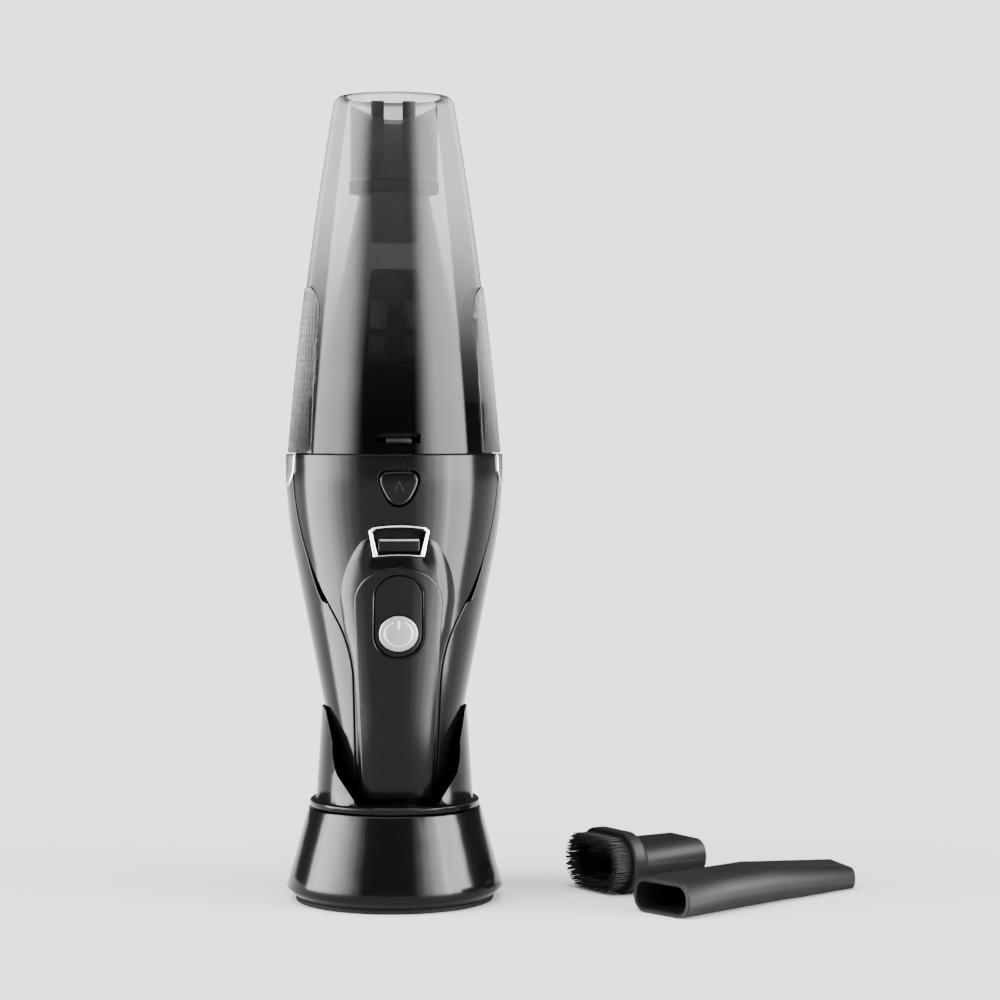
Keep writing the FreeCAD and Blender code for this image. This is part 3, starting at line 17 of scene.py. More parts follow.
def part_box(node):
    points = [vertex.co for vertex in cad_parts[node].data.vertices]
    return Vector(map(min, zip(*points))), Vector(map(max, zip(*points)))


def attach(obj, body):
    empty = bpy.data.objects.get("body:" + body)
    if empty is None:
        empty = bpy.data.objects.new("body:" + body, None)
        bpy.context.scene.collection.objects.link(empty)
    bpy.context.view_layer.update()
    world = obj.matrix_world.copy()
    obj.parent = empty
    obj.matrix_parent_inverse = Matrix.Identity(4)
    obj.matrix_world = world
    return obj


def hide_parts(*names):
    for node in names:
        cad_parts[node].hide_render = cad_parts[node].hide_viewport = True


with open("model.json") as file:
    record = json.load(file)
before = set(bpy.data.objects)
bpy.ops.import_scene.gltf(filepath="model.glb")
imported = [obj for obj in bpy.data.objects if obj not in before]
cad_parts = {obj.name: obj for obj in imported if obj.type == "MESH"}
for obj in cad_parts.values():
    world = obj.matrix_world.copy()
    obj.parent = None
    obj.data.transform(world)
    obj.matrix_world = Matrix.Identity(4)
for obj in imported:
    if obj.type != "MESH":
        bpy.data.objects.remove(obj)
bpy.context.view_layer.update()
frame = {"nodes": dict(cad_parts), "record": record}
NODES = frame["nodes"]
SLOT_OF = {part["node"]: part["material_slot"] for part in frame["record"]["subparts"]}
MM = 0.001

# %% [markdown]
# ## Writing node trees
# Shader and geometry trees are easier to read as sums than as lists of links. `Graph` adds any
# node with one call, and `Signal` wraps an output socket so that `1 - mask * 0.5` adds the
# Math nodes itself.


# %% One way to add a node, and sums on sockets
class Signal:
    """A number that flows through a node tree."""

    def __init__(self, graph, socket):
        self.graph = graph
        self.socket = socket

    def sum_node(self, operation, first, second):
        node = self.graph.add("ShaderNodeMath", {"operation": operation}, {0: first, 1: second})
        return self.graph.signal(node)

    def __add__(self, other):
        return self.sum_node("ADD", self, other)

    def __radd__(self, other):
        return self.sum_node("ADD", other, self)

    def __sub__(self, other):
        return self.sum_node("SUBTRACT", self, other)

    def __rsub__(self, other):
        return self.sum_node("SUBTRACT", other, self)

    def __mul__(self, other):
        return self.sum_node("MULTIPLY", self, other)

    def __rmul__(self, other):
        return self.sum_node("MULTIPLY", other, self)

    def power(self, other):
        return self.sum_node("POWER", self, other)


class Graph:
    """A node tree: `add` takes a node's type, its settings and what goes into its sockets."""

    def __init__(self, tree):
        self.tree = tree

    def add(self, kind, settings=None, sockets=None):
        node = self.tree.nodes.new(kind)
        for key, value in (settings or {}).items():
            setattr(node, key, value)
        for key, value in (sockets or {}).items():
            if isinstance(value, Signal):
                value = value.socket
            if isinstance(value, bpy.types.NodeSocket):
                self.tree.links.new(value, node.inputs[key])
            else:
                node.inputs[key].default_value = value
        return node

    def signal(self, node, output=0):
        return Signal(self, node.outputs[output])


print("node helpers ready: Signal and Graph")


# %% [markdown]
# ## Finishes
# Moulded plastic is never one flat colour. Every finish below mixes two scales of noise: a broad
# one for handling marks, which changes the roughness, and a fine one for the mould's texture,
# which goes through a Bump node.


# %% A shared recipe for plastics and metals
def new_finish(name):
    material = bpy.data.materials.new(name)
    material.use_nodes = True
    material.node_tree.nodes.clear()
    return material, Graph(material.node_tree)


def place_signal(graph):
    """Where a point is on its piece, in metres."""
    return graph.add("ShaderNodeTexCoord").outputs["Object"]


def noise(graph, scale, detail=3.0, roughness=0.5):
    """Soft random patches of about 1 / scale metres."""
    node = graph.add(
        "ShaderNodeTexNoise", None,
        {"Vector": place_signal(graph), "Scale": scale, "Detail": detail, "Roughness": roughness},
    )
    return graph.signal(node)


def between(graph, mask, low, high):
    """A colour that goes from low to high as the mask goes from 0 to 1."""
    ends = {6: (*low, 1.0), 7: (*high, 1.0)}
    return graph.add("ShaderNodeMix", {"data_type": "RGBA"}, {0: mask, **ends}).outputs[2]


def bump(graph, height, strength, distance):
    sockets = {"Height": height, "Strength": strength, "Distance": distance}
    return graph.add("ShaderNodeBump", None, sockets).outputs["Normal"]


def principled(graph, sockets):
    """End a material's tree with one Principled shader."""
    shader = graph.add("ShaderNodeBsdfPrincipled", None, sockets)
    graph.add("ShaderNodeOutputMaterial", None, {"Surface": shader.outputs[0]})


def soft_step(graph, value, low, high, first=0.0, last=1.0):
    """A number that eases from first to last as the value goes from low to high."""
    return graph.signal(graph.add(
        "ShaderNodeMapRange", {"interpolation_type": "SMOOTHSTEP"},
        {0: value, 1: low, 2: high, 3: first, 4: last},
    ))


def moulded(name, dark, light, rough, grain, depth, smudge=0.06, **constants):
    """A plastic or metal: two tones, a roughness that wanders, and a fine moulded grain."""
    material, graph = new_finish(name)
    patches = noise(graph, 38.0, 4.0)
    fine = noise(graph, grain, 2.0)
    sockets = {
        "Base Color": between(graph, noise(graph, grain * 0.4, 3.0), dark, light),
        "Roughness": rough + (patches - 0.5) * smudge + (fine - 0.5) * (smudge * 0.3),
        "Normal": bump(graph, fine, 0.25, depth),
    }
    principled(graph, {**sockets, **constants})
    return material


FINISH = {
    "black_gloss": moulded(
        "black_gloss", (0.0016, 0.0016, 0.0018), (0.003, 0.003, 0.0032), 0.16, 900.0, 0.00002,
        smudge=0.05, IOR=1.21,
    ),
    "black_satin": moulded(
        "black_satin", (0.007, 0.007, 0.0074), (0.013, 0.013, 0.0134), 0.5, 2600.0, 0.00006,
        smudge=0.1, IOR=1.17,
    ),
    "bright_chrome": moulded(
        "bright_chrome", (0.86, 0.87, 0.89), (0.93, 0.93, 0.94), 0.17, 700.0, 0.00001,
        smudge=0.05, Metallic=1.0,
    ),
    "silver_plastic": moulded(
        "silver_plastic", (0.20, 0.204, 0.21), (0.26, 0.265, 0.27), 0.36, 3200.0, 0.00003,
        smudge=0.08, Metallic=0.3,
    ),
    "black_rubber": moulded(
        "black_rubber", (0.007, 0.007, 0.007), (0.016, 0.016, 0.016), 0.72, 1800.0, 0.0001,
        smudge=0.14, IOR=1.1,
    ),
    "steel": moulded(
        "steel", (0.46, 0.46, 0.48), (0.62, 0.62, 0.64), 0.3, 1500.0, 0.00004, smudge=0.16, Metallic=1.0,
    ),
    "brass_contact": moulded(
        "brass_contact", (0.62, 0.43, 0.14), (0.82, 0.6, 0.25), 0.22, 1200.0, 0.00002,
        smudge=0.14, Metallic=1.0,
    ),
    "inner_plastic": moulded(
        "inner_plastic", (0.008, 0.008, 0.009), (0.017, 0.017, 0.018), 0.38, 1400.0, 0.00006,
        smudge=0.12, IOR=1.25,
    ),
    "bristle_nylon": moulded(
        "bristle_nylon", (0.004, 0.004, 0.004), (0.012, 0.012, 0.012), 0.5, 4000.0, 0.00002,
        smudge=0.1, IOR=1.2,
    ),
}
print("plain finishes", sorted(FINISH))

# %% [markdown]
# The smoke-grey clear plastic of the dust cup is a tinted glass. Its colour follows the height on the
# piece: it darkens towards the seam, and that darkening is painted shade low in the cup. Very
# faint scratches wander over the roughness.


# %% Smoke-tinted clear plastic
def smoke_clear(name, top_tint_and_shade, foot_tint_and_shade, low, high, rough=0.02, rim=None):
    """Tinted clear plastic whose tint eases from its foot to its top; that change with height is painted
    shade. A rim height, if given, adds the dark line of a thick moulded edge.
    """
    material, graph = new_finish(name)
    height = graph.signal(graph.add("ShaderNodeSeparateXYZ", None, {0: place_signal(graph)}), 2)
    scuffs = noise(graph, 160.0, 5.0, 0.6)
    # Painted shade: the tint is darker at whichever end of the piece lies in shadow.
    tone = between(graph, soft_step(graph, height, low, high), foot_tint_and_shade, top_tint_and_shade)
    if rim is not None:
        edge = soft_step(graph, height, rim - 0.002, rim)
        tone = graph.add("ShaderNodeMix", {"data_type": "RGBA"}, {
            0: edge, 6: tone, 7: (0.16, 0.16, 0.165, 1.0),
        }).outputs[2]
    principled(graph, {
        "Base Color": tone,
        "Roughness": rough + scuffs.power(4.0) * 0.12,
        "Transmission Weight": 1.0,
        "IOR": 1.33,
        "Normal": bump(graph, noise(graph, 22.0, 2.0), 0.08, 0.0002),
    })
    return material


# The cup's tint darkens from the top towards the seam: painted shade low in the cup.
FINISH["smoke_clear"] = smoke_clear(
    "smoke_clear", (0.62, 0.62, 0.63), (0.045, 0.045, 0.047), 0.236, 0.36, rim=0.3995,
)

# Each tint is darker at one end, and that darkening is painted shade: the socket towards its foot where
# it sinks into the cup, the cone towards its top under the gasket and duct, and the side panels towards
# their foot by the seam.
for clear_name, tint_and_shade_values in {
    "smoke_socket": ((0.2, 0.2, 0.203), (0.04, 0.04, 0.041), 0.362, 0.395, 0.05),
    "smoke_cone": ((0.2, 0.2, 0.203), (0.5, 0.5, 0.503), 0.262, 0.35, 0.1),
    "clear_panel": ((0.93, 0.93, 0.94), (0.5, 0.5, 0.51), 0.225, 0.27, 0.06),
}.items():
    FINISH[clear_name] = smoke_clear(clear_name, *tint_and_shade_values)
print("clear finishes", sorted(name for name in FINISH if "clear" in name or "smoke" in name))

# %% [markdown]
# Three finishes have a pattern of their own: the folded filter paper has fibres, the circuit
# board has tracks, and the battery film has darker bands.


# %% Paper, circuit board and battery film
def filter_paper(name):
    material, graph = new_finish(name)
    fibres = noise(graph, 2400.0, 6.0, 0.7)
    dust = noise(graph, 90.0, 3.0)
    tone = between(graph, fibres * 0.6 + dust * 0.4, (0.42, 0.42, 0.41), (0.78, 0.78, 0.76))
    principled(graph, {
        "Base Color": tone, "Roughness": 0.85 + (dust - 0.5) * 0.2,
        "Normal": bump(graph, fibres, 0.5, 0.0001),
    })
    return material


def circuit_board(name):
    material, graph = new_finish(name)
    tracks = graph.add(
        "ShaderNodeTexBrick", {"offset": 0.35},
        {"Vector": place_signal(graph), "Scale": 260.0, "Mortar Size": 0.03,
         "Color1": (0.02, 0.11, 0.05, 1.0), "Color2": (0.03, 0.16, 0.07, 1.0),
         "Mortar": (0.05, 0.28, 0.12, 1.0)},
    )
    lacquer = noise(graph, 800.0)
    principled(graph, {
        "Base Color": tracks.outputs["Color"], "Roughness": 0.3 + (lacquer - 0.5) * 0.15,
        "Normal": bump(graph, graph.signal(tracks, "Fac"), 0.4, 0.0001),
    })
    return material


def battery_film(name):
    material, graph = new_finish(name)
    waves = graph.signal(graph.add(
        "ShaderNodeTexWave", {"bands_direction": "Z"},
        {"Vector": place_signal(graph), "Scale": 24.0, "Distortion": 0.6},
    ))
    principled(graph, {
        "Base Color": between(graph, waves, (0.02, 0.09, 0.22), (0.05, 0.16, 0.36)),
        "Roughness": 0.28 + noise(graph, 500.0) * 0.12,
        "Normal": bump(graph, noise(graph, 300.0), 0.3, 0.0001),
    })
    return material


FINISH["filter_paper"] = filter_paper("filter_paper")
FINISH["board_green"] = circuit_board("board_green")
FINISH["cell_wrap"] = battery_film("cell_wrap")
print("all finishes", len(FINISH))

# %% [markdown]
# ## Carried-over CAD pieces
# Most inner pieces keep their CAD shape and only need a finish. Their material goes into the
# object's own slot, so that the mesh is not touched.

# %% Give every CAD node the finish of its record slot
for node_name, node in NODES.items():
    if not node.material_slots:
        node.data.materials.append(None)
    for material_slot in node.material_slots:
        material_slot.link = "OBJECT"
        material_slot.material = FINISH[SLOT_OF[node_name]]
print("dressed", len(NODES), "CAD nodes")


# %% [markdown]
# ## Making a piece
# A finished mesh rides on its body, takes a record slot, and may stand for CAD nodes. One helper
# does all of that, so that each piece below is a few lines.


def add_piece(name, mesh, body, slot, stands_for=(), sharp=None):
    """Put a mesh in the scene as a piece of the object."""
    piece = bpy.data.objects.new(name, mesh)
    bpy.context.scene.collection.objects.link(piece)
    mesh.materials.clear()
    mesh.materials.append(FINISH[slot])
    mesh.shade_smooth()
    if sharp is not None:
        mesh.set_sharp_from_angle(angle=math.radians(sharp))
    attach(piece, body)
    if stands_for:
        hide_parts(*stands_for)
    print(f"{name}: {len(mesh.polygons)} faces on {body}")
    return piece


def mesh_of(name, points, faces):
    mesh = bpy.data.meshes.new(name)
    mesh.from_pydata([tuple(p) for p in points], [], [tuple(f) for f in faces])
    mesh.validate()
    mesh.update()
    return mesh


def tidy_normals(mesh):
    """Merge what meets and turn every face outwards."""
    work = bmesh.new()
    work.from_mesh(mesh)
    bmesh.ops.remove_doubles(work, verts=work.verts, dist=1e-7)
    bmesh.ops.recalc_face_normals(work, faces=work.faces)
    work.to_mesh(mesh)
    work.free()
    return mesh


def through(mesh, kind, settings):
    """What one modifier makes of a mesh, as a plain mesh."""
    holder = bpy.data.objects.new("holder", mesh)
    bpy.context.scene.collection.objects.link(holder)
    step = holder.modifiers.new("step", kind)
    settings(step)
    view = holder.evaluated_get(bpy.context.evaluated_depsgraph_get())
    result = bpy.data.meshes.new_from_object(view)
    holder.modifiers.remove(step)
    bpy.data.objects.remove(holder)
    return result


BROAD_WEIGHT, PLAIN_WEIGHT = 80, 50


def weighted(mesh, weight=BROAD_WEIGHT, sharp=None):
    """Let large faces lead the shading. Edges steeper than a sharp angle, if given, stay crisp."""
    def settings(step):
        step.keep_sharp, step.weight = True, weight

    mesh.shade_smooth()
    if sharp is not None:
        mesh.set_sharp_from_angle(angle=math.radians(sharp))
    return through(mesh, "WEIGHTED_NORMAL", settings)


print("helpers ready: add_piece, mesh_of, tidy_normals, through, weighted")


# %% [markdown]
# ## Turned pieces
# The dock's skirt, its foot, the dust cup and the air cone are all bodies of revolution. Each is
# a closed profile spun about the axis. Real moulded corners are rounded, so every corner of the
# profile that carries a radius is replaced by a short arc before it is spun.


# %% Spin a profile with rounded corners
TURN_STEPS = 144


def round_corner(before, corner, after, radius, steps=4):
    """The arc that takes the place of one corner."""
    back, on = (before - corner), (after - corner)
    reach_back, reach_on = back.length, on.length
    back, on = back / reach_back, on / reach_on
    half = math.acos(max(-1.0, min(1.0, back.dot(on)))) / 2
    cut = min(radius / math.tan(half), reach_back * 0.45, reach_on * 0.45)
    start, end = corner + back * cut, corner + on * cut
    return [
        (1 - t) ** 2 * start + 2 * t * (1 - t) * corner + t**2 * end
        for t in (i / steps for i in range(steps + 1))
    ]


def rounded_profile(corners):
    """Corners are (radius, height) or (radius, height, rounding), in millimetres."""
    places = [Vector((c[0], c[1])) * MM for c in corners]
    line = []
    for i, corner in enumerate(corners):
        if len(corner) > 2:
            line += round_corner(places[i - 1], places[i], places[(i + 1) % len(places)], corner[2] * MM)
        else:
            line.append(places[i])
    return line


def spun(name, profile, steps=TURN_STEPS):
    """Spin a closed profile once round the Z axis."""
    points, faces = [], []
    count = len(profile)
    for i in range(steps):
        turn = 2 * math.pi * i / steps
        points += [(p.x * math.cos(turn), p.x * math.sin(turn), p.y) for p in profile]
    for i in range(steps):
        here, there = i * count, ((i + 1) % steps) * count
        for j in range(count):
            k = (j + 1) % count
            faces.append((here + j, there + j, there + k, here + k))
    return tidy_normals(mesh_of(name, points, faces))


def turned_piece(name, corners, body, slot, stands_for):
    return add_piece(name, weighted(spun(name, rounded_profile(corners))), body, slot, stands_for)


# %% [markdown]
# ## The dock's foot
# The dock stands on a black rubber ring under its skirt. Its lower edges are rounded, as moulded
# rubber is.

# %% Foot ring
FOOT_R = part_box("dock_foot_ring")[1].x / MM
turned_piece("foot_ring_soft", [
    (FOOT_R - 6, 0.0, 0.4), (FOOT_R, 0.0, 0.7), (FOOT_R, 2.5), (FOOT_R - 6, 2.5),
], "dock", "black_rubber", ["dock_foot_ring"])
print("foot radius", round(FOOT_R, 2))

# %% [markdown]
# ## Moulded pieces taken from the CAD
# The dock's skirt flares to its foot, and the cradle stands in it: a ledge with a shadow gap under
# it, and two wings that hold the handle. They already have the right shape, but CAD hands over
# loose flat triangles, which show as facets in a glossy surface. So each is copied, its triangles
# are merged, and the shading is smoothed up to the real edges. The CAD node is then hidden.


# %% A smooth copy of a CAD node
CREASE = 32.0


def smooth_copy(node, body):
    """The node's own shape, its loose triangles joined, smooth between its real edges."""
    mesh = NODES[node].data.copy()
    work = bmesh.new()
    work.from_mesh(mesh)
    bmesh.ops.remove_doubles(work, verts=work.verts, dist=2e-6)
    work.to_mesh(mesh)
    work.free()
    mesh = weighted(mesh, PLAIN_WEIGHT, CREASE)
    piece = bpy.data.objects.new(f"{node}_smooth", mesh)
    bpy.context.scene.collection.objects.link(piece)
    mesh.materials.clear()
    mesh.materials.append(FINISH[SLOT_OF[node]])
    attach(piece, body)
    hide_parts(node)
    print(f"{piece.name}: {len(mesh.polygons)} faces on {body}")


for node_name in ("dock_skirt", "dock_cradle", "dock_bottom_cover", "power_inlet"):
    smooth_copy(node_name, "dock")

# %% [markdown]
# ## Drawing flat outlines
# The covers on the body are cut from one skin, like paper patterns wrapped round a bottle. Each
# outline is drawn from the front with lines and arcs, laid flat on the unrolled skin, filled
# with triangles, and bent back round the body. Its edge is rolled over by a fraction of a
# millimetre, and that rolled edge is what catches the light along every split line.


# %% Outlines made of lines and arcs
def arc_points(start, end, radius, side, spacing):
    """Points along the arc that bows to the left (+1) or right (-1) of its chord."""
    (x0, y0), (x1, y1) = start, end
    chord = math.hypot(x1 - x0, y1 - y0)
    lean = math.sqrt(max(radius**2 - (chord / 2) ** 2, 0.0))
    across = ((y0 - y1) / chord, (x1 - x0) / chord)
    middle = ((x0 + x1) / 2 - side * across[0] * lean, (y0 + y1) / 2 - side * across[1] * lean)
    first = math.atan2(y0 - middle[1], x0 - middle[0])
    last = math.atan2(y1 - middle[1], x1 - middle[0])
    sweep = (last - first + math.pi) % (2 * math.pi) - math.pi
    if abs(abs(sweep) - math.pi) < 0.15:
        sweep = -side * abs(sweep)
    count = max(2, int(abs(sweep) * radius / spacing))
    turns = [first + sweep * i / count for i in range(count)]
    return [(middle[0] + radius * math.cos(t), middle[1] + radius * math.sin(t)) for t in turns]


def anticlockwise(loop, wanted=True):
    area = np.sum(loop[:, 0] * np.roll(loop[:, 1], -1) - loop[:, 1] * np.roll(loop[:, 0], -1))
    return loop if (area > 0) == wanted else loop[::-1]


def outline(corners, spacing=1.0):
    """A closed outline as an anticlockwise row of points, in millimetres."""
    points = []
    for i, corner in enumerate(corners):
        start, end = corner[:2], corners[(i + 1) % len(corners)][:2]
        if len(corner) > 2:
            points += arc_points(start, end, corner[2], corner[3], spacing)
        else:
            count = max(1, int(math.dist(start, end) / spacing))
            points += [
                (start[0] + (end[0] - start[0]) * k / count, start[1] + (end[1] - start[1]) * k / count)
                for k in range(count)
            ]
    return anticlockwise(np.array(points))


def mirrored(corners):
    """A symmetric outline from its right half, listed from the bottom up."""
    right = list(corners)
    apex = abs(right[-1][0]) < 1e-9
    if apex:
        right[-1] = (*right[-1][:2], *right[-2][2:])
    left = []
    for i in range(len(corners) - (2 if apex else 1), -1, -1):
        bow = corners[i - 1][2:] if i > 0 else ()
        left.append((-corners[i][0], corners[i][1], *bow))
    return right + left


def oval(half_width, half_height, corner, x=0.0, y=0.0):
    """A rectangle with round corners."""
    w, h, r = half_width, half_height, corner
    return [
        (x + w, y - h + r), (x + w, y + h - r, r, -1), (x + w - r, y + h), (x - w + r, y + h, r, -1),
        (x - w, y + h - r), (x - w, y - h + r, r, -1), (x - w + r, y - h), (x + w - r, y - h, r, -1),
    ]


def circle(radius, x=0.0, y=0.0, spacing=0.8):
    count = max(12, int(2 * math.pi * radius / spacing))
    turns = np.arange(count) * 2 * math.pi / count
    return np.stack([x + radius * np.cos(turns), y + radius * np.sin(turns)], 1)


print("outline helpers ready: outline, mirrored, oval, circle")


# %% [markdown]
# The body's skin is a straight taper from the handle's end to the shoulder, a long arc, and a
# short upright belly under the seam.

# %% The body's skin, unrolled
HANDLE_R, HANDLE_Z = 20.0, 23.0
SHOULDER_R, SHOULDER_Z = 49.4, 173.0
BELLY_R, BELLY_Z = 53.5, 210.0
BOW = 226.0
SEAM_Z = 223.0


def bow_centre(foot_r, foot_z, top_r, top_z, bow):
    """The centre of the arc of radius bow that bulges outwards between two heights."""
    chord = math.hypot(top_r - foot_r, top_z - foot_z)
    lean = math.sqrt(bow**2 - (chord / 2) ** 2)
    return (
        (top_r + foot_r) / 2 - lean * (top_z - foot_z) / chord,
        (top_z + foot_z) / 2 + lean * (top_r - foot_r) / chord,
    )


BOW_R, BOW_Z = bow_centre(SHOULDER_R, SHOULDER_Z, BELLY_R, BELLY_Z, BOW)


def body_radius(z):
    taper = HANDLE_R + (z - HANDLE_Z) * (SHOULDER_R - HANDLE_R) / (SHOULDER_Z - HANDLE_Z)
    bow = BOW_R + np.sqrt(np.maximum(BOW**2 - (z - BOW_Z) ** 2, 0.0))
    return np.where(z < SHOULDER_Z, taper, np.where(z < BELLY_Z, bow, BELLY_R))


def from_front(loop):
    """Lay an outline drawn from the front on the unrolled skin."""
    radius = body_radius(loop[:, 1])
    turn = np.arcsin(np.clip(loop[:, 0] / radius, -0.9999, 0.9999))
    return np.stack([radius * turn, loop[:, 1]], 1)


def from_side(loop, side, radius_of=body_radius):
    """The same for an outline drawn from one side, as (distance back, height)."""
    radius = radius_of(loop[:, 1])
    turn = math.pi / 2 + np.arcsin(np.clip(loop[:, 0] / radius, -0.9999, 0.9999))
    return np.stack([side * radius * turn, loop[:, 1]], 1)


def from_back(loop):
    radius = body_radius(loop[:, 1])
    lean = np.arcsin(np.clip(np.abs(loop[:, 0]) / radius, 0, 0.9999))
    turn = np.sign(loop[:, 0]) * (math.pi - lean)
    return np.stack([radius * turn, loop[:, 1]], 1)


def on_body(flat, step, radius_of=body_radius):
    """Bend flat points back round the body, a step out from its skin."""
    radius = radius_of(flat[:, 1])
    turn = flat[:, 0] / radius
    reach = radius + step
    return np.stack([reach * np.sin(turn), -reach * np.cos(turn), flat[:, 1]], 1) * MM


print("radius at the shoulder", SHOULDER_R, "and at the belly", BELLY_R)


# %% [markdown]
# ## Shells with rolled edges
# `shell` fills an outline with triangles, leaves its holes open, and closes it into a solid with
# a rolled edge outside and a plain back. A crown lets the sheet rise gently from its edge, as
# the hood on the handle does.


# %% Fill an outline and give it thickness
def moved_in(loop, distance):
    """Every point of a loop moved to the left of its path."""
    def left(v):
        n = np.stack([-v[:, 1], v[:, 0]], 1)
        return n / np.maximum(np.linalg.norm(n, axis=1, keepdims=True), 1e-9)
    first, second = left(loop - np.roll(loop, 1, 0)), left(np.roll(loop, -1, 0) - loop)
    middle = first + second
    middle /= np.maximum(np.linalg.norm(middle, axis=1, keepdims=True), 1e-9)
    stretch = 1 / np.clip(np.sum(middle * first, axis=1, keepdims=True), 0.5, 1.0)
    return loop + middle * stretch * distance


def inside(points, loop):
    """Which points lie inside a loop."""
    x, y = points[:, :1], points[:, 1:]
    x0, y0 = loop[:, 0], loop[:, 1]
    x1, y1 = np.roll(x0, -1), np.roll(y0, -1)
    crosses = (y0 > y) != (y1 > y)
    slope = (x1 - x0) / np.where(np.abs(y1 - y0) < 1e-12, 1e-12, y1 - y0)
    return (np.sum(crosses & (x < x0 + (y - y0) * slope), axis=1) % 2) == 1


def gap_to(points, loop):
    """Distance from points to the nearest point of a loop."""
    best = np.full(len(points), 1e9)
    for start in range(0, len(points), 500):
        part = points[start:start + 500]
        best[start:start + 500] = np.sqrt(((part[:, None] - loop[None]) ** 2).sum(2).min(1))
    return best


def shell(name, outer, holes, out, back, roll=0.4, grid=3.0, rise=0.0, rise_width=1.0, bend=on_body):
    """A solid sheet on a bent surface, from a flat outline with holes."""
    loops = [anticlockwise(outer)] + [anticlockwise(hole, False) for hole in holes]
    inner = [moved_in(loop, roll) for loop in loops]
    low, high = inner[0].min(0), inner[0].max(0)
    xs, ys = (np.arange(low[i] + grid / 2, high[i], grid) for i in range(2))
    field = np.array([(x, y) for y in ys for x in xs]).reshape(-1, 2)
    if len(field):
        keep = inside(field, inner[0])
        for hole in inner[1:]:
            keep &= ~inside(field, hole)
        for loop in inner:
            keep &= gap_to(field, loop) > grid * 0.45
        field = field[keep]
    points = np.concatenate(inner + [field])
    edges, start = [], 0
    for loop in inner:
        edges += [(start + i, start + (i + 1) % len(loop)) for i in range(len(loop))]
        start += len(loop)
    made = delaunay_2d_cdt([Vector(p) for p in points], edges, [], 0, 1e-6)
    flat = np.array([tuple(v) for v in made[0]])
    index_of = {old: new for new, olds in enumerate(made[3]) for old in olds}
    triangles = np.array([f for f in made[2] if len(f) == 3])
    centres = flat[triangles].mean(1)
    keep = inside(centres, inner[0])
    for hole in inner[1:]:
        keep &= ~inside(centres, hole)
    triangles = triangles[keep]

    def top(points_there):
        if rise == 0.0:
            return np.full(len(points_there), out)
        climb = np.clip(gap_to(points_there, loops[0]) / rise_width, 0, 1)
        return out - rise * (1 - climb) ** 1.6

    count = len(flat)
    corners = [bend(flat, top(flat)), bend(flat, np.full(count, back))]
    faces = [tuple(t) for t in triangles] + [tuple(count + i for i in t[::-1]) for t in triangles]
    size = 2 * count
    start = 0
    for loop, edge in zip(loops, inner):
        length = len(loop)
        rings = [[index_of[start + i] for i in range(length)]]
        start += length
        levels = [math.pi / 2 * k / 4 for k in range(1, 5)]
        for level in levels:
            place = moved_in(loop, roll * (1 - math.sin(level)))
            corners.append(bend(place, top(place) - roll * (1 - math.cos(level))))
            rings.append(list(range(size, size + length)))
            size += length
        corners.append(bend(loop, np.full(length, back + min(0.15, roll))))
        rings.append(list(range(size, size + length)))
        size += length
        rings.append([count + i for i in rings[0]])
        for upper, lower in zip(rings[:-1], rings[1:]):
            for i in range(length):
                k = (i + 1) % length
                faces.append((upper[i], lower[i], lower[k], upper[k]))
    mesh = mesh_of(name, np.concatenate(corners), faces)
    return weighted(tidy_normals(mesh))


def sheet(name, body, slot, stands_for, *shape, **more):
    """A shell that becomes a piece at once."""
    return add_piece(name, shell(name, *shape, **more), body, slot, stands_for)


SIDES = ((-1, "left"), (1, "right"))
print("shell helpers ready")


# %% [markdown]
# ## The body's covers
# The tulip-shaped front cover runs from the seam down the handle. Two side housings close the
# body from its edges round to a split at the back, where slanted rows of slots let the air out.
# A narrow slit opens beside the front cover where each housing's fin ends.

# %% Outlines of the covers, seen from the front
SPLIT = 0.3


def tulip(gap):
    return mirrored([
        (HANDLE_R - 1.0 - gap, HANDLE_Z), (HANDLE_R + 1.5 - gap, SHOULDER_Z - 61, 71.0, 1),
        (SHOULDER_R * 0.587 - gap, SHOULDER_Z - 32),
        (SHOULDER_R * 0.739 - gap, SHOULDER_Z - 18, 150.0, -1),
        (BELLY_R - 2.9 - gap, SEAM_Z),
    ])


def release_shape(gap):
    return mirrored([
        (0.9, 198.5 - gap, 8.5, -1), (5.4 + gap, 201.6 - gap / 2, 30.0, -1), (9.0 + gap, 208.6, 7.0, -1),
        (9.3 + gap, 211.4, 3.8, -1), (6.0 + gap, 214.8 + gap, 60.0, -1),
    ])


def bezel_shape(inset):
    high, low = 188.6 - inset, 173.6 + inset
    wide, narrow = 13.9 - inset, 11.6 - inset
    return [
        (narrow, low), (wide, high - 2.2), (wide - 1.8, high - 0.6, 70.0, -1),
        (-(wide - 1.8), high - 0.6), (-wide, high - 2.2), (-narrow, low, 80.0, 1),
    ]


def bezel_opening(side_bar, thin_bar):
    """The window in the bezel: strong bars at its sides, thin ones above and below."""
    high, low = 188.6 - thin_bar, 173.6 + thin_bar
    wide, narrow = 13.9 - side_bar, 11.6 - side_bar
    return [
        (narrow - 0.9, low), (narrow, low + 1.0), (wide, high - 2.2), (wide - 1.6, high - 0.5, 70.0, -1),
        (-(wide - 1.6), high - 0.5), (-wide, high - 2.2), (-narrow, low + 1.0),
        (-(narrow - 0.9), low, 80.0, 1),
    ]


PANEL_HALF, PANEL_TOP, PANEL_FOOT = 11.1, 165.0, 124.0
POWER_Z = PANEL_FOOT + PANEL_HALF + 1.0
POWER_R = 8.8
release_hole = from_front(outline(release_shape(0.7), 0.5))
bezel_hole = from_front(outline(bezel_shape(1.5), 0.6))
sheet(
    "front_cover_shell", "vacuum", "black_gloss", ["front_cover"],
    from_front(outline(tulip(SPLIT))), [release_hole, bezel_hole], 0.0, -2.4, 0.45,
)


# %% [markdown]
# Each housing starts at the front cover's edge and ends at the split at the back. It stands a
# little proud of the cover, so its rolled edge draws the split line. The right one also has the
# round holes that let a driver reach the screws.


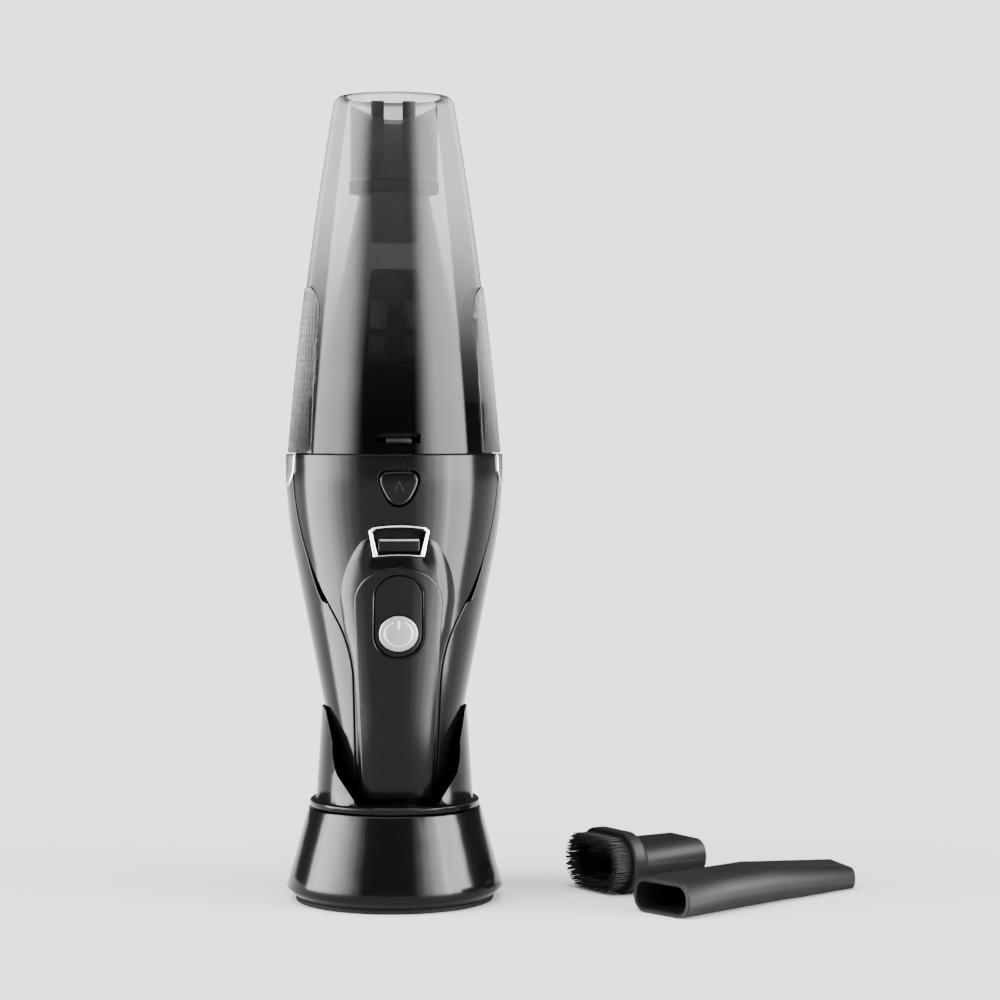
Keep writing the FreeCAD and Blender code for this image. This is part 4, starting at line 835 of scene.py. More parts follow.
# %% The two side housings
def housing_edge(side):
    """The outline of one housing on the unrolled skin."""
    right = outline(tulip(0.0), 1.0)
    right = right[right[:, 0] > 0]
    right = right[np.argsort(right[:, 1])]
    heights = np.linspace(HANDLE_Z, SEAM_Z, 190)
    reach = np.interp(heights, right[:, 1], right[:, 0])
    slit_top, slit_foot, slit_width = 172.0, 150.6, 2.1
    opening = np.clip((slit_top - heights) / (slit_top - slit_foot), 0, 1) * (heights > slit_foot)
    reach += slit_width * opening
    front = from_front(np.stack([reach, heights], 1))
    back_heights = heights[::-1]
    radius = body_radius(back_heights)
    back = np.stack([radius * math.pi - SPLIT / 2, back_heights], 1)
    loop = np.concatenate([front, back])
    loop[:, 0] *= side
    return loop


def vent_holes(side):
    """Four slots to each row on the back, half of them in each housing."""
    rows = [149.0 + 9.0 * row for row in range(5)]
    return [
        from_back(outline(oval(4.0, 1.6, 1.5, side * (11.0 * column), low + 1.6), 0.7))
        for low in rows for column in (1, 2)
    ]


def driver_holes():
    """Round ways in the right housing that let a driver reach the screws."""
    places = []
    for height in (61.0, 112.0, 140.0, 200.0):
        wall = 3.6 if height > SHOULDER_Z else 2.4
        depth = (BELLY_R if height > SHOULDER_Z else float(body_radius(np.array(height)))) - wall - 1.0
        places.append(from_side(circle(3.0, depth, height), 1))
    return places


for side, side_name in SIDES:
    holes = vent_holes(side) + (driver_holes() if side > 0 else [])
    sheet(
        f"{side_name}_housing_shell", "vacuum", "black_gloss", [f"{side_name}_housing"],
        housing_edge(side), holes, 0.35, -2.4, 0.6, grid=3.6,
    )

# %% [markdown]
# ## The hood and the spine
# On the handle's front a hood rises out of the skin like a pointed arch, and a round-shouldered
# spine stands on it and runs down the handle. The hood's sheet climbs from its edge, which gives
# the two lit slopes beside the spine.

# %% Hood, spine, switch panel
SADDLE_HALF, SADDLE_TOP, SADDLE_FOOT = 28.3, 187.0, 53.0
SPINE_HALF, SPINE_TOP = 20.2, 169.0
saddle_shape = mirrored([
    (HANDLE_R - 2.0, SADDLE_FOOT), (HANDLE_R + 0.5, SHOULDER_Z - 61, 71.0, 1), (25.8, SHOULDER_Z - 37),
    (SADDLE_HALF - 0.4, SHOULDER_Z - 22, 48.0, -1), (SADDLE_HALF - 10.7, SADDLE_TOP - 5.4, 40.0, -1),
    (0.0, SADDLE_TOP - 0.4),
])
spine_shape = mirrored([
    (SPINE_HALF - 5, SADDLE_FOOT), (SPINE_HALF, SPINE_TOP - 18, 17.0, -1),
    (SPINE_HALF - 12, SPINE_TOP - 1.5, 40.0, -1), (0.0, SPINE_TOP),
])


def capsule(grow):
    half = PANEL_HALF + grow
    top, foot = PANEL_TOP - PANEL_HALF, PANEL_FOOT + PANEL_HALF
    return [(half, foot), (half, top, half + 0.001, -1), (-half, top), (-half, foot, half + 0.001, -1)]


def with_notch(outer, window):
    """An outline with a window that breaks through its edge taken out of it."""
    outer, window = anticlockwise(outer), anticlockwise(window)
    kept = ~inside(outer, window)
    first = int(np.flatnonzero(kept & ~np.roll(kept, 1))[0])
    rim = np.roll(outer, -first, 0)[np.roll(kept, -first)]
    within = inside(window, outer)
    start = int(np.flatnonzero(within & ~np.roll(within, 1))[0])
    edge = np.roll(window, -start, 0)[np.roll(within, -start)]
    if np.linalg.norm(edge[0] - rim[-1]) > np.linalg.norm(edge[-1] - rim[-1]):
        edge = edge[::-1]
    return np.concatenate([rim, edge])


bezel_window = from_front(outline(bezel_shape(0.0), 0.6))
panel_window = from_front(outline(capsule(0.0), 0.8))
sheet(
    "handle_hood", "vacuum", "black_gloss", ["handle_saddle"],
    with_notch(from_front(outline(saddle_shape)), bezel_window), [panel_window], 2.9, 0.0, 0.3,
    grid=1.8, rise=2.6, rise_width=9.5,
)
sheet(
    "handle_spine", "vacuum", "black_gloss", (),
    from_front(outline(spine_shape)), [panel_window], 3.9, 0.2, 1.1, grid=2.4,
)
button_hole = from_front(circle(POWER_R + 0.35, 0.0, POWER_Z, 0.6))
sheet(
    "switch_panel_dish", "vacuum", "black_gloss", ["switch_panel"],
    from_front(outline(capsule(-0.25), 0.8)), [button_hole], 2.6, 0.0, 0.35, grid=2.0,
)

# %% [markdown]
# ## Buttons
# The silver power button stands proud of its panel and carries a plain ring-and-bar switch
# symbol. The release button is a shield with a small arrow that shows which way the cup comes
# off. Both are shells of their own, because they travel.


# %% Power button and its symbol
def arc_band(inner, outer, half_gap, y, steps=40):
    """An open ring, like a letter C turned upwards."""
    turns = [math.pi / 2 + half_gap + (2 * math.pi - 2 * half_gap) * i / steps for i in range(steps + 1)]
    ring = [(outer * math.cos(t), y + outer * math.sin(t)) for t in turns]
    ring += [(inner * math.cos(t), y + inner * math.sin(t)) for t in reversed(turns)]
    return np.array(ring)


sheet(
    "power_button_cap", "power_key", "silver_plastic", ["power_button"],
    from_front(circle(POWER_R, 0.0, POWER_Z, 0.6)), [], 4.3, 1.5, 0.9, grid=1.2,
)
for part, shape in (
    ("ring", arc_band(5.6, 6.5, 0.38, POWER_Z)),
    ("bar", outline(oval(0.5, 2.3, 0.45, 0.0, POWER_Z + 4.3), 0.3)),
):
    sheet(
        f"power_symbol_{part}", "power_key", "steel", (),
        from_front(shape), [], 4.42, 4.25, 0.1, grid=0.8,
    )


# %% [markdown]
# A few plain levers and plates inside the body are blocks with broken edges. The helper joins
# them into one mesh and bevels it.


# %% Blocks with broken edges
def bevelled_blocks(name, boxes, edge=0.3):
    """Boxes, each from its lowest to its highest corner in millimetres, with small bevels."""
    work = bmesh.new()
    for low, high in boxes:
        middle = (Vector(low) + Vector(high)) / 2 * MM
        spans = (Vector(high) - Vector(low)) * MM
        place = Matrix.Translation(middle) @ Matrix.Diagonal((*spans, 1))
        bmesh.ops.create_cube(work, size=1.0, matrix=place)
    bmesh.ops.bevel(
        work, geom=work.edges[:], offset=edge * MM, offset_type="OFFSET", segments=2, profile=0.5,
        affect="EDGES",
    )
    bmesh.ops.recalc_face_normals(work, faces=work.faces)
    mesh = bpy.data.meshes.new(name)
    work.to_mesh(mesh)
    work.free()
    return mesh


print("block helper ready: bevelled_blocks")


# %% [markdown]
# Pressing the release button moves an arm behind it, and the arm's hook leaves the slot in the
# cup. All three move together, so they ride on the same body.

# %% Release button: its face, its arrow and the arm inside
sheet(
    "release_button_face", "release_key", "black_gloss", ["release_button"],
    from_front(outline(release_shape(0.0), 0.5)), [], 0.5, -3.4, 1.3, grid=1.2,
)
ARROW_Z = 208.2
arrow = np.array([
    (-2.4, ARROW_Z - 2.6), (0.0, ARROW_Z + 2.4), (2.4, ARROW_Z - 2.6),
    (1.9, ARROW_Z - 2.6), (0.0, ARROW_Z + 1.4), (-1.9, ARROW_Z - 2.6),
])
sheet(
    "release_arrow", "release_key", "inner_plastic", (),
    from_front(arrow), [], 0.56, 0.45, 0.04, grid=3.0,
)
ARM_HALF, HOOK_TOP = 6.0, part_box("release_button")[1].z / MM
add_piece("release_arm", bevelled_blocks("release_arm", [
    ((-ARM_HALF, -50.6, 203.0), (ARM_HALF, -47.1, 211.0)),
    ((-ARM_HALF, -48.9, 203.0), (ARM_HALF, -47.1, HOOK_TOP)),
    ((-ARM_HALF, -50.7, HOOK_TOP - 1.9), (ARM_HALF, -48.7, HOOK_TOP)),
]), "release_key", "inner_plastic")

# %% [markdown]
# ## The speed slider
# A bright bezel frames a window in the hood's crown. A glossy bar rides up and down in it, with a
# fine ridge along its upper edge, whose silver colour is a painted highlight on the bar's top edge.

# %% Bezel, bar, ridge with its painted highlight, and carrier
sheet(
    "slider_bezel_frame", "vacuum", "bright_chrome", ["slider_bezel"],
    from_front(outline(bezel_shape(0.05), 0.5)),
    [from_front(outline(bezel_opening(1.45, 0.7), 0.5))], 3.2, 0.0, 0.32, grid=3.0,
)
BAR_FOOT, BAR_LENGTH, BAR_HALF = 176.3, 6.5, 9.8
bar_middle = BAR_FOOT + BAR_LENGTH / 2
sheet(
    "slider_bar", "slider", "black_gloss", ["speed_slider"],
    from_front(outline(oval(BAR_HALF, BAR_LENGTH / 2, 1.2, 0.0, bar_middle), 0.5)), [],
    2.0, -6.4, 0.7, grid=1.2,
)
# The ridge's silver colour is a painted highlight along the bar's lit top edge.
sheet(
    "slider_ridge", "slider", "silver_plastic", (),
    from_front(outline(oval(BAR_HALF - 0.8, 0.45, 0.4, 0.0, BAR_FOOT + BAR_LENGTH - 0.9), 0.4)),
    [], 2.5, 1.8, 0.3, grid=3.0,
)
add_piece("slider_carrier", bevelled_blocks("slider_carrier", [
    ((-12.8, -44.4, 173.3), (12.8, -42.8, 187.8)),
]), "slider", "inner_plastic")

# %% [markdown]
# A bright plate marks each side of the seam between the body and the cup.

# %% Bright trims at the two sides of the seam
trim_shape = mirrored([(11.0, SEAM_Z - 16, 30.0, -1), (19.0, SEAM_Z - 8), (20.0, SEAM_Z - 0.3)])
for side, side_name in SIDES:
    sheet(
        f"{side_name}_trim_plate", "vacuum", "bright_chrome", [f"{side_name}_trim"],
        from_side(outline(trim_shape, 0.7), side), [], 0.6, -0.2, 0.35, grid=2.5,
    )

# %% [markdown]
# ## The dust cup
# The cup is a tapered clear vessel whose side bows very slightly outwards, with a rounded rim. It
# is spun like a blown bottle, and a slot is then cut low on its front for the release hook.

# %% Cup wall with its catch slot
CUP_FOOT, CUP_FOOT_R = 223.5, 52.3
CUP_NECK, CUP_NECK_R = 395.0, 30.3
CUP_BOW, CUP_WALL = 1940.0, 2.2
CUP_BOW_R, CUP_BOW_Z = bow_centre(CUP_FOOT_R, CUP_FOOT, CUP_NECK_R, CUP_NECK, CUP_BOW)


def cup_radius(z):
    return CUP_BOW_R + np.sqrt(CUP_BOW**2 - (z - CUP_BOW_Z) ** 2)


def cut_blocks(mesh, blocks):
    """Take boxes, given by two corners in millimetres, out of a closed mesh."""
    tool = bpy.data.objects.new("cutter", bevelled_blocks("cutter", blocks, edge=0.25))
    bpy.context.scene.collection.objects.link(tool)

    def settings(step):
        step.operation, step.solver, step.object = "DIFFERENCE", "EXACT", tool

    result = through(mesh, "BOOLEAN", settings)
    bpy.data.objects.remove(tool)
    return result


RIM_R, RIM_RISE, RIM_ROUND, RIM_SPACING = CUP_NECK_R - 3.0, 5, 6.5, 0.6


def rim_arc(start, end, side):
    return [Vector(p) for p in arc_points(start, end, RIM_ROUND, side, RIM_SPACING)]


side_heights = np.linspace(CUP_FOOT, CUP_NECK, 28)
rim = rim_arc((CUP_NECK_R, CUP_NECK), (RIM_R, CUP_NECK + RIM_RISE), -1)
inner_rim = rim_arc((RIM_R - CUP_WALL, CUP_NECK + RIM_RISE), (CUP_NECK_R - CUP_WALL, CUP_NECK), 1)
outside = [Vector((float(cup_radius(z)), z)) for z in side_heights[:-1]] + rim
outside.append(Vector((RIM_R, CUP_NECK + RIM_RISE)))
insides = inner_rim + [Vector((float(cup_radius(z)) - CUP_WALL, z)) for z in side_heights[::-1]]
cup_profile = [p * MM for p in outside + insides]
CATCH_SLOT = ((-10.5, -60.0, 228.5), (10.5, -44.0, 233.3))
CUP_STEPS, CUP_CREASE = 192, 40
cup_mesh = cut_blocks(spun("dust_cup_wall", cup_profile, CUP_STEPS), [CATCH_SLOT])
cup_mesh = weighted(cup_mesh, PLAIN_WEIGHT, CUP_CREASE)
add_piece("dust_cup_wall", cup_mesh, "cup", "smoke_clear", ["dust_cup"], sharp=CUP_CREASE)


# %% [markdown]
# Two clear panels stand a little proud of the cup's sides, in line with the trims below. They are
# bent round the cup instead of the body.


# %% Raised panels on the cup's sides
def on_cup(flat, step):
    return on_body(flat, step, cup_radius)


rib_shape = mirrored([(32.0, CUP_FOOT), (26.0, CUP_FOOT + 68, 16.0, -1), (14.0, CUP_FOOT + 82)])
for side, side_name in SIDES:
    sheet(
        f"cup_panel_{side_name}", "cup", "clear_panel", (),
        from_side(outline(rib_shape), side, cup_radius), [], 0.8, 0.02, 0.5, bend=on_cup,
    )

# %% [markdown]
# ## The inlet
# At the cup's mouth sits an oval socket that takes the tools. Under it a rubber gasket seals the
# clear air cone, a flap keeps the dirt in, and a duct leads down into the cup.


# %% A tube between two closed loops
def oval_loop(half_width, half_height, corner, spacing=0.7):
    return outline(oval(half_width, half_height, corner), spacing)


def even_loop(loop, count):
    """The same loop with evenly spaced points, starting at its rightmost middle."""
    closed = np.concatenate([loop, loop[:1]])
    steps = np.linalg.norm(np.diff(closed, axis=0), axis=1)
    along = np.concatenate([[0], np.cumsum(steps)])
    places = np.linspace(0, along[-1], count, endpoint=False)
    return np.stack([np.interp(places, along, closed[:, i]) for i in range(2)], 1)


def ring_faces(rings):
    """Quads between rings of equal length, the last ring joined back to the first."""
    faces = []
    for first, second in zip(rings, rings[1:] + rings[:1]):
        for i in range(len(first)):
            k = (i + 1) % len(first)
            faces.append((first[i], first[k], second[k], second[i]))
    return faces


def lofted(name, sections):
    """A closed solid through rows of points, the last row joined back to the first."""
    rings, points = [], []
    for section in sections:
        rings.append(list(range(len(points), len(points) + len(section))))
        points += [tuple(p) for p in section]
    return weighted(tidy_normals(mesh_of(name, points, ring_faces(rings))))


def upright_tube(name, outer_size, wall, foot, top, corner, dip=0.0, edge=0.5, count=160):
    """An oval tube that stands on Z, with an optional dip in its upper rim."""
    half_width, half_height = outer_size

    def ring(inset, height, is_top=False):
        size = (half_width - inset, half_height - inset)
        loop = even_loop(oval_loop(*size, min(corner, min(size)) - inset * 0.4), count)
        drop = dip * np.clip(1 - (loop[:, 0] / half_width) ** 2, 0, 1) if is_top else 0.0
        return np.stack([loop[:, 0], loop[:, 1], np.full(count, height) - drop], 1) * MM

    rows = [ring(0, foot + edge), ring(0, top - edge, True), ring(edge * 0.3, top - edge * 0.3, True)]
    rows += [ring(edge, top, True), ring(wall - edge * 0.5, top, True)]
    rows.append(ring(wall, top - edge * 0.5, True))
    rows += [ring(wall, foot + edge), ring(wall - edge * 0.5, foot), ring(edge, foot)]
    rows.append(ring(edge * 0.3, foot + edge * 0.3))
    return lofted(name, rows)


add_piece("inlet_socket_tube", upright_tube(
    "inlet_socket_tube", (21.7, 12.2), 2.5, 359.0, 396.0, 10.7, dip=8.5,
), "cup", "smoke_socket", ["inlet_socket"])
add_piece("socket_gasket_soft", upright_tube(
    "socket_gasket_soft", (22.3, 12.8), 3.1, 351.9, 358.4, 11.3, edge=0.9,
), "cup", "black_rubber", ["socket_gasket"])
turned_piece("air_cone_clear", [
    (33.6, 265.7, 0.5), (35.0, 265.7, 0.5), (17.5, 351.7, 0.5), (16.1, 351.7, 0.5),
], "cup", "smoke_cone", ["air_cone"])
smooth_copy("inlet_duct", "cup")
smooth_copy("inlet_flap", "flap")
smooth_copy("coupling_ring", "vacuum")
smooth_copy("cup_seal", "vacuum")
smooth_copy("filter_seat", "filter")
smooth_copy("filter_cage", "filter")

# %% [markdown]
# ## Copies round an axis
# Folds of paper, fan blades and screws repeat. One small geometry tree takes a single piece,
# turns copies of it about the upright axis, and makes them real.


# %% Geometry tree: copies round an axis
def new_tree(name, **inputs):
    """A geometry tree that takes one geometry and the inputs named here, and gives one back."""
    tree = bpy.data.node_groups.new(name, "GeometryNodeTree")
    for label, kind in {"Geometry": "Geometry", **inputs, "Finish": "Material"}.items():
        tree.interface.new_socket(label, in_out="INPUT", socket_type=f"NodeSocket{kind}")
    tree.interface.new_socket("Geometry", in_out="OUTPUT", socket_type="NodeSocketGeometry")
    graph = Graph(tree)
    return tree, graph, graph.add("NodeGroupInput")


def end_tree(graph, entry, sockets):
    """Set copies on points, make them real and give them their finish."""
    copies = graph.add("GeometryNodeInstanceOnPoints", None, sockets)
    real = graph.add("GeometryNodeRealizeInstances", None, {0: copies.outputs[0]})
    painted = graph.add("GeometryNodeSetMaterial", None, {
        "Geometry": real.outputs[0], "Material": entry.outputs["Finish"],
    })
    graph.add("NodeGroupOutput", None, {0: painted.outputs[0]})


def copies_tree():
    tree, graph, entry = new_tree("copies_round_axis", Count="Int", Start="Float")
    row = graph.add("GeometryNodePoints", None, {"Count": entry.outputs["Count"]})
    index = graph.signal(graph.add("GeometryNodeInputIndex"))
    share = graph.add(
        "ShaderNodeMath", {"operation": "DIVIDE"}, {0: 2 * math.pi, 1: entry.outputs["Count"]},
    )
    turn = index * graph.signal(share) + entry.outputs["Start"]
    angles = graph.add("ShaderNodeCombineXYZ", None, {"Z": turn})
    end_tree(graph, entry, {
        "Points": row.outputs[0], "Instance": entry.outputs["Geometry"], "Rotation": angles.outputs[0],
    })
    return tree


def run_tree(mesh, tree, **values):
    """Put a mesh through a tree with its inputs set by name, and keep the plain result."""
    def settings(step):
        step.node_group = tree
        for item in tree.interface.items_tree:
            if item.in_out == "INPUT" and item.name in values:
                step[item.identifier] = values[item.name]

    return through(mesh, "NODES", settings)


COPIES = copies_tree()
print(COPIES.name, "ready")


# %% [markdown]
# The tree makes the filter from one fold of paper, the fan from one blade and the dock's four
# screws from one screw.


# %% Pleats, fan and dock screws
def fold(low, high, outer_low, outer_high, depth, thickness, share):
    """One V of folded paper, from its outer edge in and out again."""
    points = []
    for height, outer in ((low, outer_low), (high, outer_high)):
        for radius, turn in ((outer, 0), (outer - depth, share / 2), (outer, share)):
            points.append((radius * math.cos(turn), radius * math.sin(turn), height))
        inner = outer - thickness
        for radius, turn in ((inner, share), (inner - depth, share / 2), (inner, 0)):
            points.append((radius * math.cos(turn), radius * math.sin(turn), height))
    faces = [(i, (i + 1) % 6, (i + 1) % 6 + 6, i + 6) for i in range(6)]
    faces += [(5, 4, 1, 0), (4, 3, 2, 1), (6, 7, 10, 11), (7, 8, 9, 10)]
    return tidy_normals(mesh_of("fold", [Vector(p) * MM for p in points], faces))


PLEATS = 28
one_fold = fold(248.4, 299.1, 15.7, 13.2, 3.0, 0.35, 2 * math.pi / PLEATS)
add_piece("filter_pleat_paper", run_tree(
    one_fold, COPIES, Count=PLEATS, Start=0.0, Finish=FINISH["filter_paper"],
), "filter", "filter_paper", ["filter_pleats"], sharp=20)
BLADES = 11
disc_low, blade_top = (corner.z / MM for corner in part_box("fan"))
blade = bevelled_blocks("blade", [((5.0, -0.6, disc_low + 1.2), (29.0, 0.6, blade_top - 0.2))], 0.2)
blade.transform(Matrix.Translation((0.004, 0, 0)) @ Matrix.Rotation(math.radians(14), 4, "Z"))
add_piece("fan_blades", run_tree(
    blade, COPIES, Count=BLADES, Start=0.2, Finish=FINISH["inner_plastic"],
), "rotor", "inner_plastic")
turned_piece("fan_disc", [
    (1.7, disc_low, 0.2), (30.9, disc_low, 0.5), (30.9, disc_low + 1.4, 0.4), (5.0, disc_low + 1.4),
    (5.0, disc_low + 5.9, 0.5), (1.7, disc_low + 5.9, 0.2),
], "rotor", "inner_plastic", ["fan"])


def screw_mesh(head_radius, head_height, shank_radius, length):
    """A pan-head screw that points up, with a cross in its head."""
    body = spun("screw", rounded_profile([
        (0.0, 0.0), (head_radius, 0.0, 0.7),
        (head_radius, head_height, 0.2), (shank_radius, head_height),
        (shank_radius, length - 1.0), (0.3, length), (0.0, length),
    ]), 32)
    arm, half = head_radius * 0.62, 0.38
    cross = [((-arm, -half, -0.5), (arm, half, 0.9)), ((-half, -arm, -0.5), (half, arm, 0.9))]
    for part in cross:
        body = cut_blocks(body, [part])
    return body


dock_low, dock_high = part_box("dock_screws")
SCREW_HEAD = 2.8
reach = dock_high.x / MM - SCREW_HEAD
screw_one = screw_mesh(SCREW_HEAD, 1.6, 1.4, 9.0)
dock_screw = screw_one.copy()
dock_screw.transform(Matrix.Translation(Vector((reach, reach, dock_low.z / MM)) * MM))
add_piece("dock_screws_round", run_tree(
    dock_screw, COPIES, Count=4, Start=0.0, Finish=FINISH["steel"],
), "dock", "steel", ["dock_screws"], sharp=35)

# %% [markdown]
# ## Copies on points
# The housing screws sit in a row, and the brush's bristles stand in two ovals. A second tree sets
# copies on any points and can tilt and shorten each one a little, always in the same way.


# %% Geometry tree: copies on points
def scatter_tree():
    tree, graph, entry = new_tree(
        "copies_on_points", Piece="Object", Tilt="Float", Shortest="Float", Seed="Int",
    )
    tilt = graph.signal(entry, "Tilt")
    low, high = (
        graph.add("ShaderNodeCombineXYZ", None, {"X": tilt * s, "Y": tilt * s}) for s in (-1.0, 1.0)
    )
    lean = graph.add("FunctionNodeRandomValue", {"data_type": "FLOAT_VECTOR"}, {
        0: low.outputs[0], 1: high.outputs[0], "Seed": entry.outputs["Seed"],
    })
    size = graph.add("FunctionNodeRandomValue", {"data_type": "FLOAT"}, {
        2: entry.outputs["Shortest"], 3: 1.0, "Seed": entry.outputs["Seed"],
    })
    height = graph.add("ShaderNodeCombineXYZ", None, {"X": 1.0, "Y": 1.0, "Z": size.outputs[1]})
    piece = graph.add(
        "GeometryNodeObjectInfo", {"transform_space": "ORIGINAL"}, {"Object": entry.outputs["Piece"]},
    )
    end_tree(graph, entry, {
        "Points": entry.outputs["Geometry"], "Instance": piece.outputs["Geometry"],
        "Rotation": lean.outputs[0], "Scale": height.outputs[0],
    })
    return tree


SCATTER = scatter_tree()


def scattered(points, one, **values):
    """Copies of one mesh on a list of points."""
    holder = bpy.data.objects.new("one_piece", one)
    bpy.context.scene.collection.objects.link(holder)
    seeds = bpy.data.meshes.new("points")
    seeds.from_pydata([tuple(p) for p in points], [], [])
    result = run_tree(seeds, SCATTER, Piece=holder, **values)
    bpy.data.objects.remove(holder)
    return result


print(SCATTER.name, "ready")


# %% [markdown]
# Four screws, laid on their sides, hold the two housings together.

# %% Housing screws
HOUSING_SCREWS = ((24.05, 61.0), (34.04, 112.0), (39.53, 140.0), (48.9, 200.0))
flat_screw = screw_one.copy()
flat_screw.transform(Matrix.Rotation(math.radians(-90), 4, "Y"))
add_piece("housing_screws_round", scattered(
    [Vector((6.6, back, height)) * MM for back, height in HOUSING_SCREWS], flat_screw,
    Tilt=0.0, Shortest=1.0, Seed=3, Finish=FINISH["steel"],
), "vacuum", "steel", ["housing_screws"], sharp=35)


# %% [markdown]
# ## The loose tools
# Both tools have the same oval plug. The crevice tool thins towards a slanted tip. The brush has
# a flared head that carries two rows of bristles. Their sections are lofted along the tool's
# length, round the outside and back through the bore.


# %% Crevice tool
PLUG_W, PLUG_H, TOOL_WALL = 18.85, 8.85, 2.0
CREVICE_PLACE, BRUSH_PLACE = (126.0, -62.0, 38.0), (152.0, 34.0, 208.0)


def tool_row(x, half_width, half_height, middle, slant=0.0, corner=None, count=120):
    """One oval section of a tool at a distance along it."""
    corner = min(half_height, half_width) - 1.0 if corner is None else corner
    loop = even_loop(oval_loop(half_width, half_height, corner), count)
    along = x - slant * (0.5 - loop[:, 0] / (2 * half_width))
    return np.stack([along, loop[:, 0], loop[:, 1] + middle], 1) * MM


def tool_rows(stations, wall):
    """Outside from foot to tip, then the bore from tip to foot."""
    rows = [tool_row(*station) for station in stations]
    inner = [
        tool_row(x, half_width - wall, half_height - wall, middle, *rest)
        for x, half_width, half_height, middle, *rest in reversed(stations)
    ]
    return rows + inner


def placed_tool(mesh, x, y, turn):
    """A tool laid on the floor at a place in millimetres, turned by so many degrees."""
    place = Matrix.Translation(Vector((x, y, 0)) * MM)
    mesh.transform(place @ Matrix.Rotation(math.radians(turn), 4, "Z"))
    return mesh


CREVICE_LENGTH, CREVICE_TIP, CREVICE_SLANT = 142.0, 5.5, 16.0
crevice_stations = []
for share in (0.0, 0.004, 0.25, 0.5, 0.75, 0.994, 1.0):
    tip_share = max(0.0, share * 2 - 1)
    tall = PLUG_H + (CREVICE_TIP - PLUG_H) * tip_share
    wide = PLUG_W - 2.5 * share
    soft = 0.35 if share in (0.0, 1.0) else 0.0
    crevice_stations.append((
        share * CREVICE_LENGTH, wide - soft, tall - soft, tall, CREVICE_SLANT * share,
    ))
add_piece("crevice_tool_tube", placed_tool(
    lofted("crevice_tool_tube", tool_rows(crevice_stations, TOOL_WALL)), *CREVICE_PLACE,
), "crevice", "black_satin", ["crevice_tool"], sharp=35)

# %% [markdown]
# The brush's head is wider than its neck. Rows of bristles stand round its mouth, each one tilted
# and shortened a little.

# %% Brush body and bristles
HEAD_W, HEAD_H, HEAD_LENGTH = 25.0, 15.5, 7.0
PLUG_LENGTH, NECK_LENGTH, BRISTLE_LENGTH = 33.0, 9.0, 11.0
head_start = PLUG_LENGTH + NECK_LENGTH
brush_outside = [
    (0.0, PLUG_W - 0.4, PLUG_H - 0.4, HEAD_H), (0.5, PLUG_W, PLUG_H, HEAD_H),
    (head_start - 5, PLUG_W, PLUG_H, HEAD_H), (head_start - 4, PLUG_W + 1.5, PLUG_H + 1.5, HEAD_H),
    (head_start - 0.4, PLUG_W + 1.5, PLUG_H + 1.5, HEAD_H),
    (head_start, HEAD_W - 0.6, HEAD_H - 0.6, HEAD_H),
    (head_start + 0.6, HEAD_W, HEAD_H, HEAD_H), (head_start + HEAD_LENGTH - 0.6, HEAD_W, HEAD_H, HEAD_H),
    (head_start + HEAD_LENGTH, HEAD_W - 0.6, HEAD_H - 0.6, HEAD_H),
]
brush_bore = [
    (head_start + HEAD_LENGTH, PLUG_W - TOOL_WALL, PLUG_H - TOOL_WALL, HEAD_H),
    (0.0, PLUG_W - TOOL_WALL, PLUG_H - TOOL_WALL, HEAD_H),
]
add_piece("brush_shell", placed_tool(
    lofted("brush_shell", [tool_row(*row) for row in brush_outside + brush_bore]), *BRUSH_PLACE,
), "brush", "black_satin", ["brush_body"], sharp=35)


def bristle():
    """One bristle along X, thick at its root and round at its tip."""
    profile = [(0.0, 0.0), (0.34, 0.0), (0.3, 6.0), (0.2, 10.4), (0.0, BRISTLE_LENGTH)]
    mesh = spun("bristle", [Vector(p) * MM for p in profile], 6)
    mesh.transform(Matrix.Rotation(math.radians(90), 4, "Y"))
    return mesh


roots = []
for inset, spacing in ((2.4, 0.85), (3.4, 0.9), (4.4, 0.9), (5.4, 0.95), (6.4, 0.95)):
    loop = oval_loop(HEAD_W - inset, HEAD_H - inset, HEAD_H - inset - 1.0, 0.5)
    total = np.linalg.norm(np.roll(loop, -1, 0) - loop, axis=1).sum()
    root_x = head_start + HEAD_LENGTH - 0.3
    roots += [(root_x, y, z + HEAD_H) for y, z in even_loop(loop, int(total / spacing))]
bristle_mesh = scattered(
    [Vector(root) * MM for root in roots], bristle(),
    Tilt=0.09, Shortest=0.94, Seed=11, Finish=FINISH["bristle_nylon"],
)
add_piece(
    "brush_bristle_rows", placed_tool(bristle_mesh, *BRUSH_PLACE), "brush", "bristle_nylon",
    ["brush_bristles"],
)
print("bristles", len(roots))

# %% [markdown]
# ## Floor, light and camera
# A pale seamless floor and a soft overhead light give the quiet shadow of a product picture. Two
# wide soft panels to the left and right are what a glossy dark bottle shape needs: each draws one
# upright band down the body and leaves the middle dark.

# %% Floor and soft light
floor_mesh = bpy.data.meshes.new("floor")
HALF_FLOOR = 6.0
floor_mesh.from_pydata([
    (x * HALF_FLOOR, y * HALF_FLOOR, 0) for x, y in ((-1, -1), (1, -1), (1, 1), (-1, 1))
], [], [(0, 1, 2, 3)])
floor = bpy.data.objects.new("floor", floor_mesh)
floor_finish, floor_graph = new_finish("pale_floor")
paper_tone = between(floor_graph, noise(floor_graph, 3.0), (0.90, 0.90, 0.90), (0.93, 0.93, 0.93))
principled(floor_graph, {"Base Color": paper_tone, "Roughness": 0.75, "Specular IOR Level": 0.0})
floor_mesh.materials.append(floor_finish)
bpy.context.scene.collection.objects.link(floor)


BACKDROP = 2.5
CENTRE = -9.0


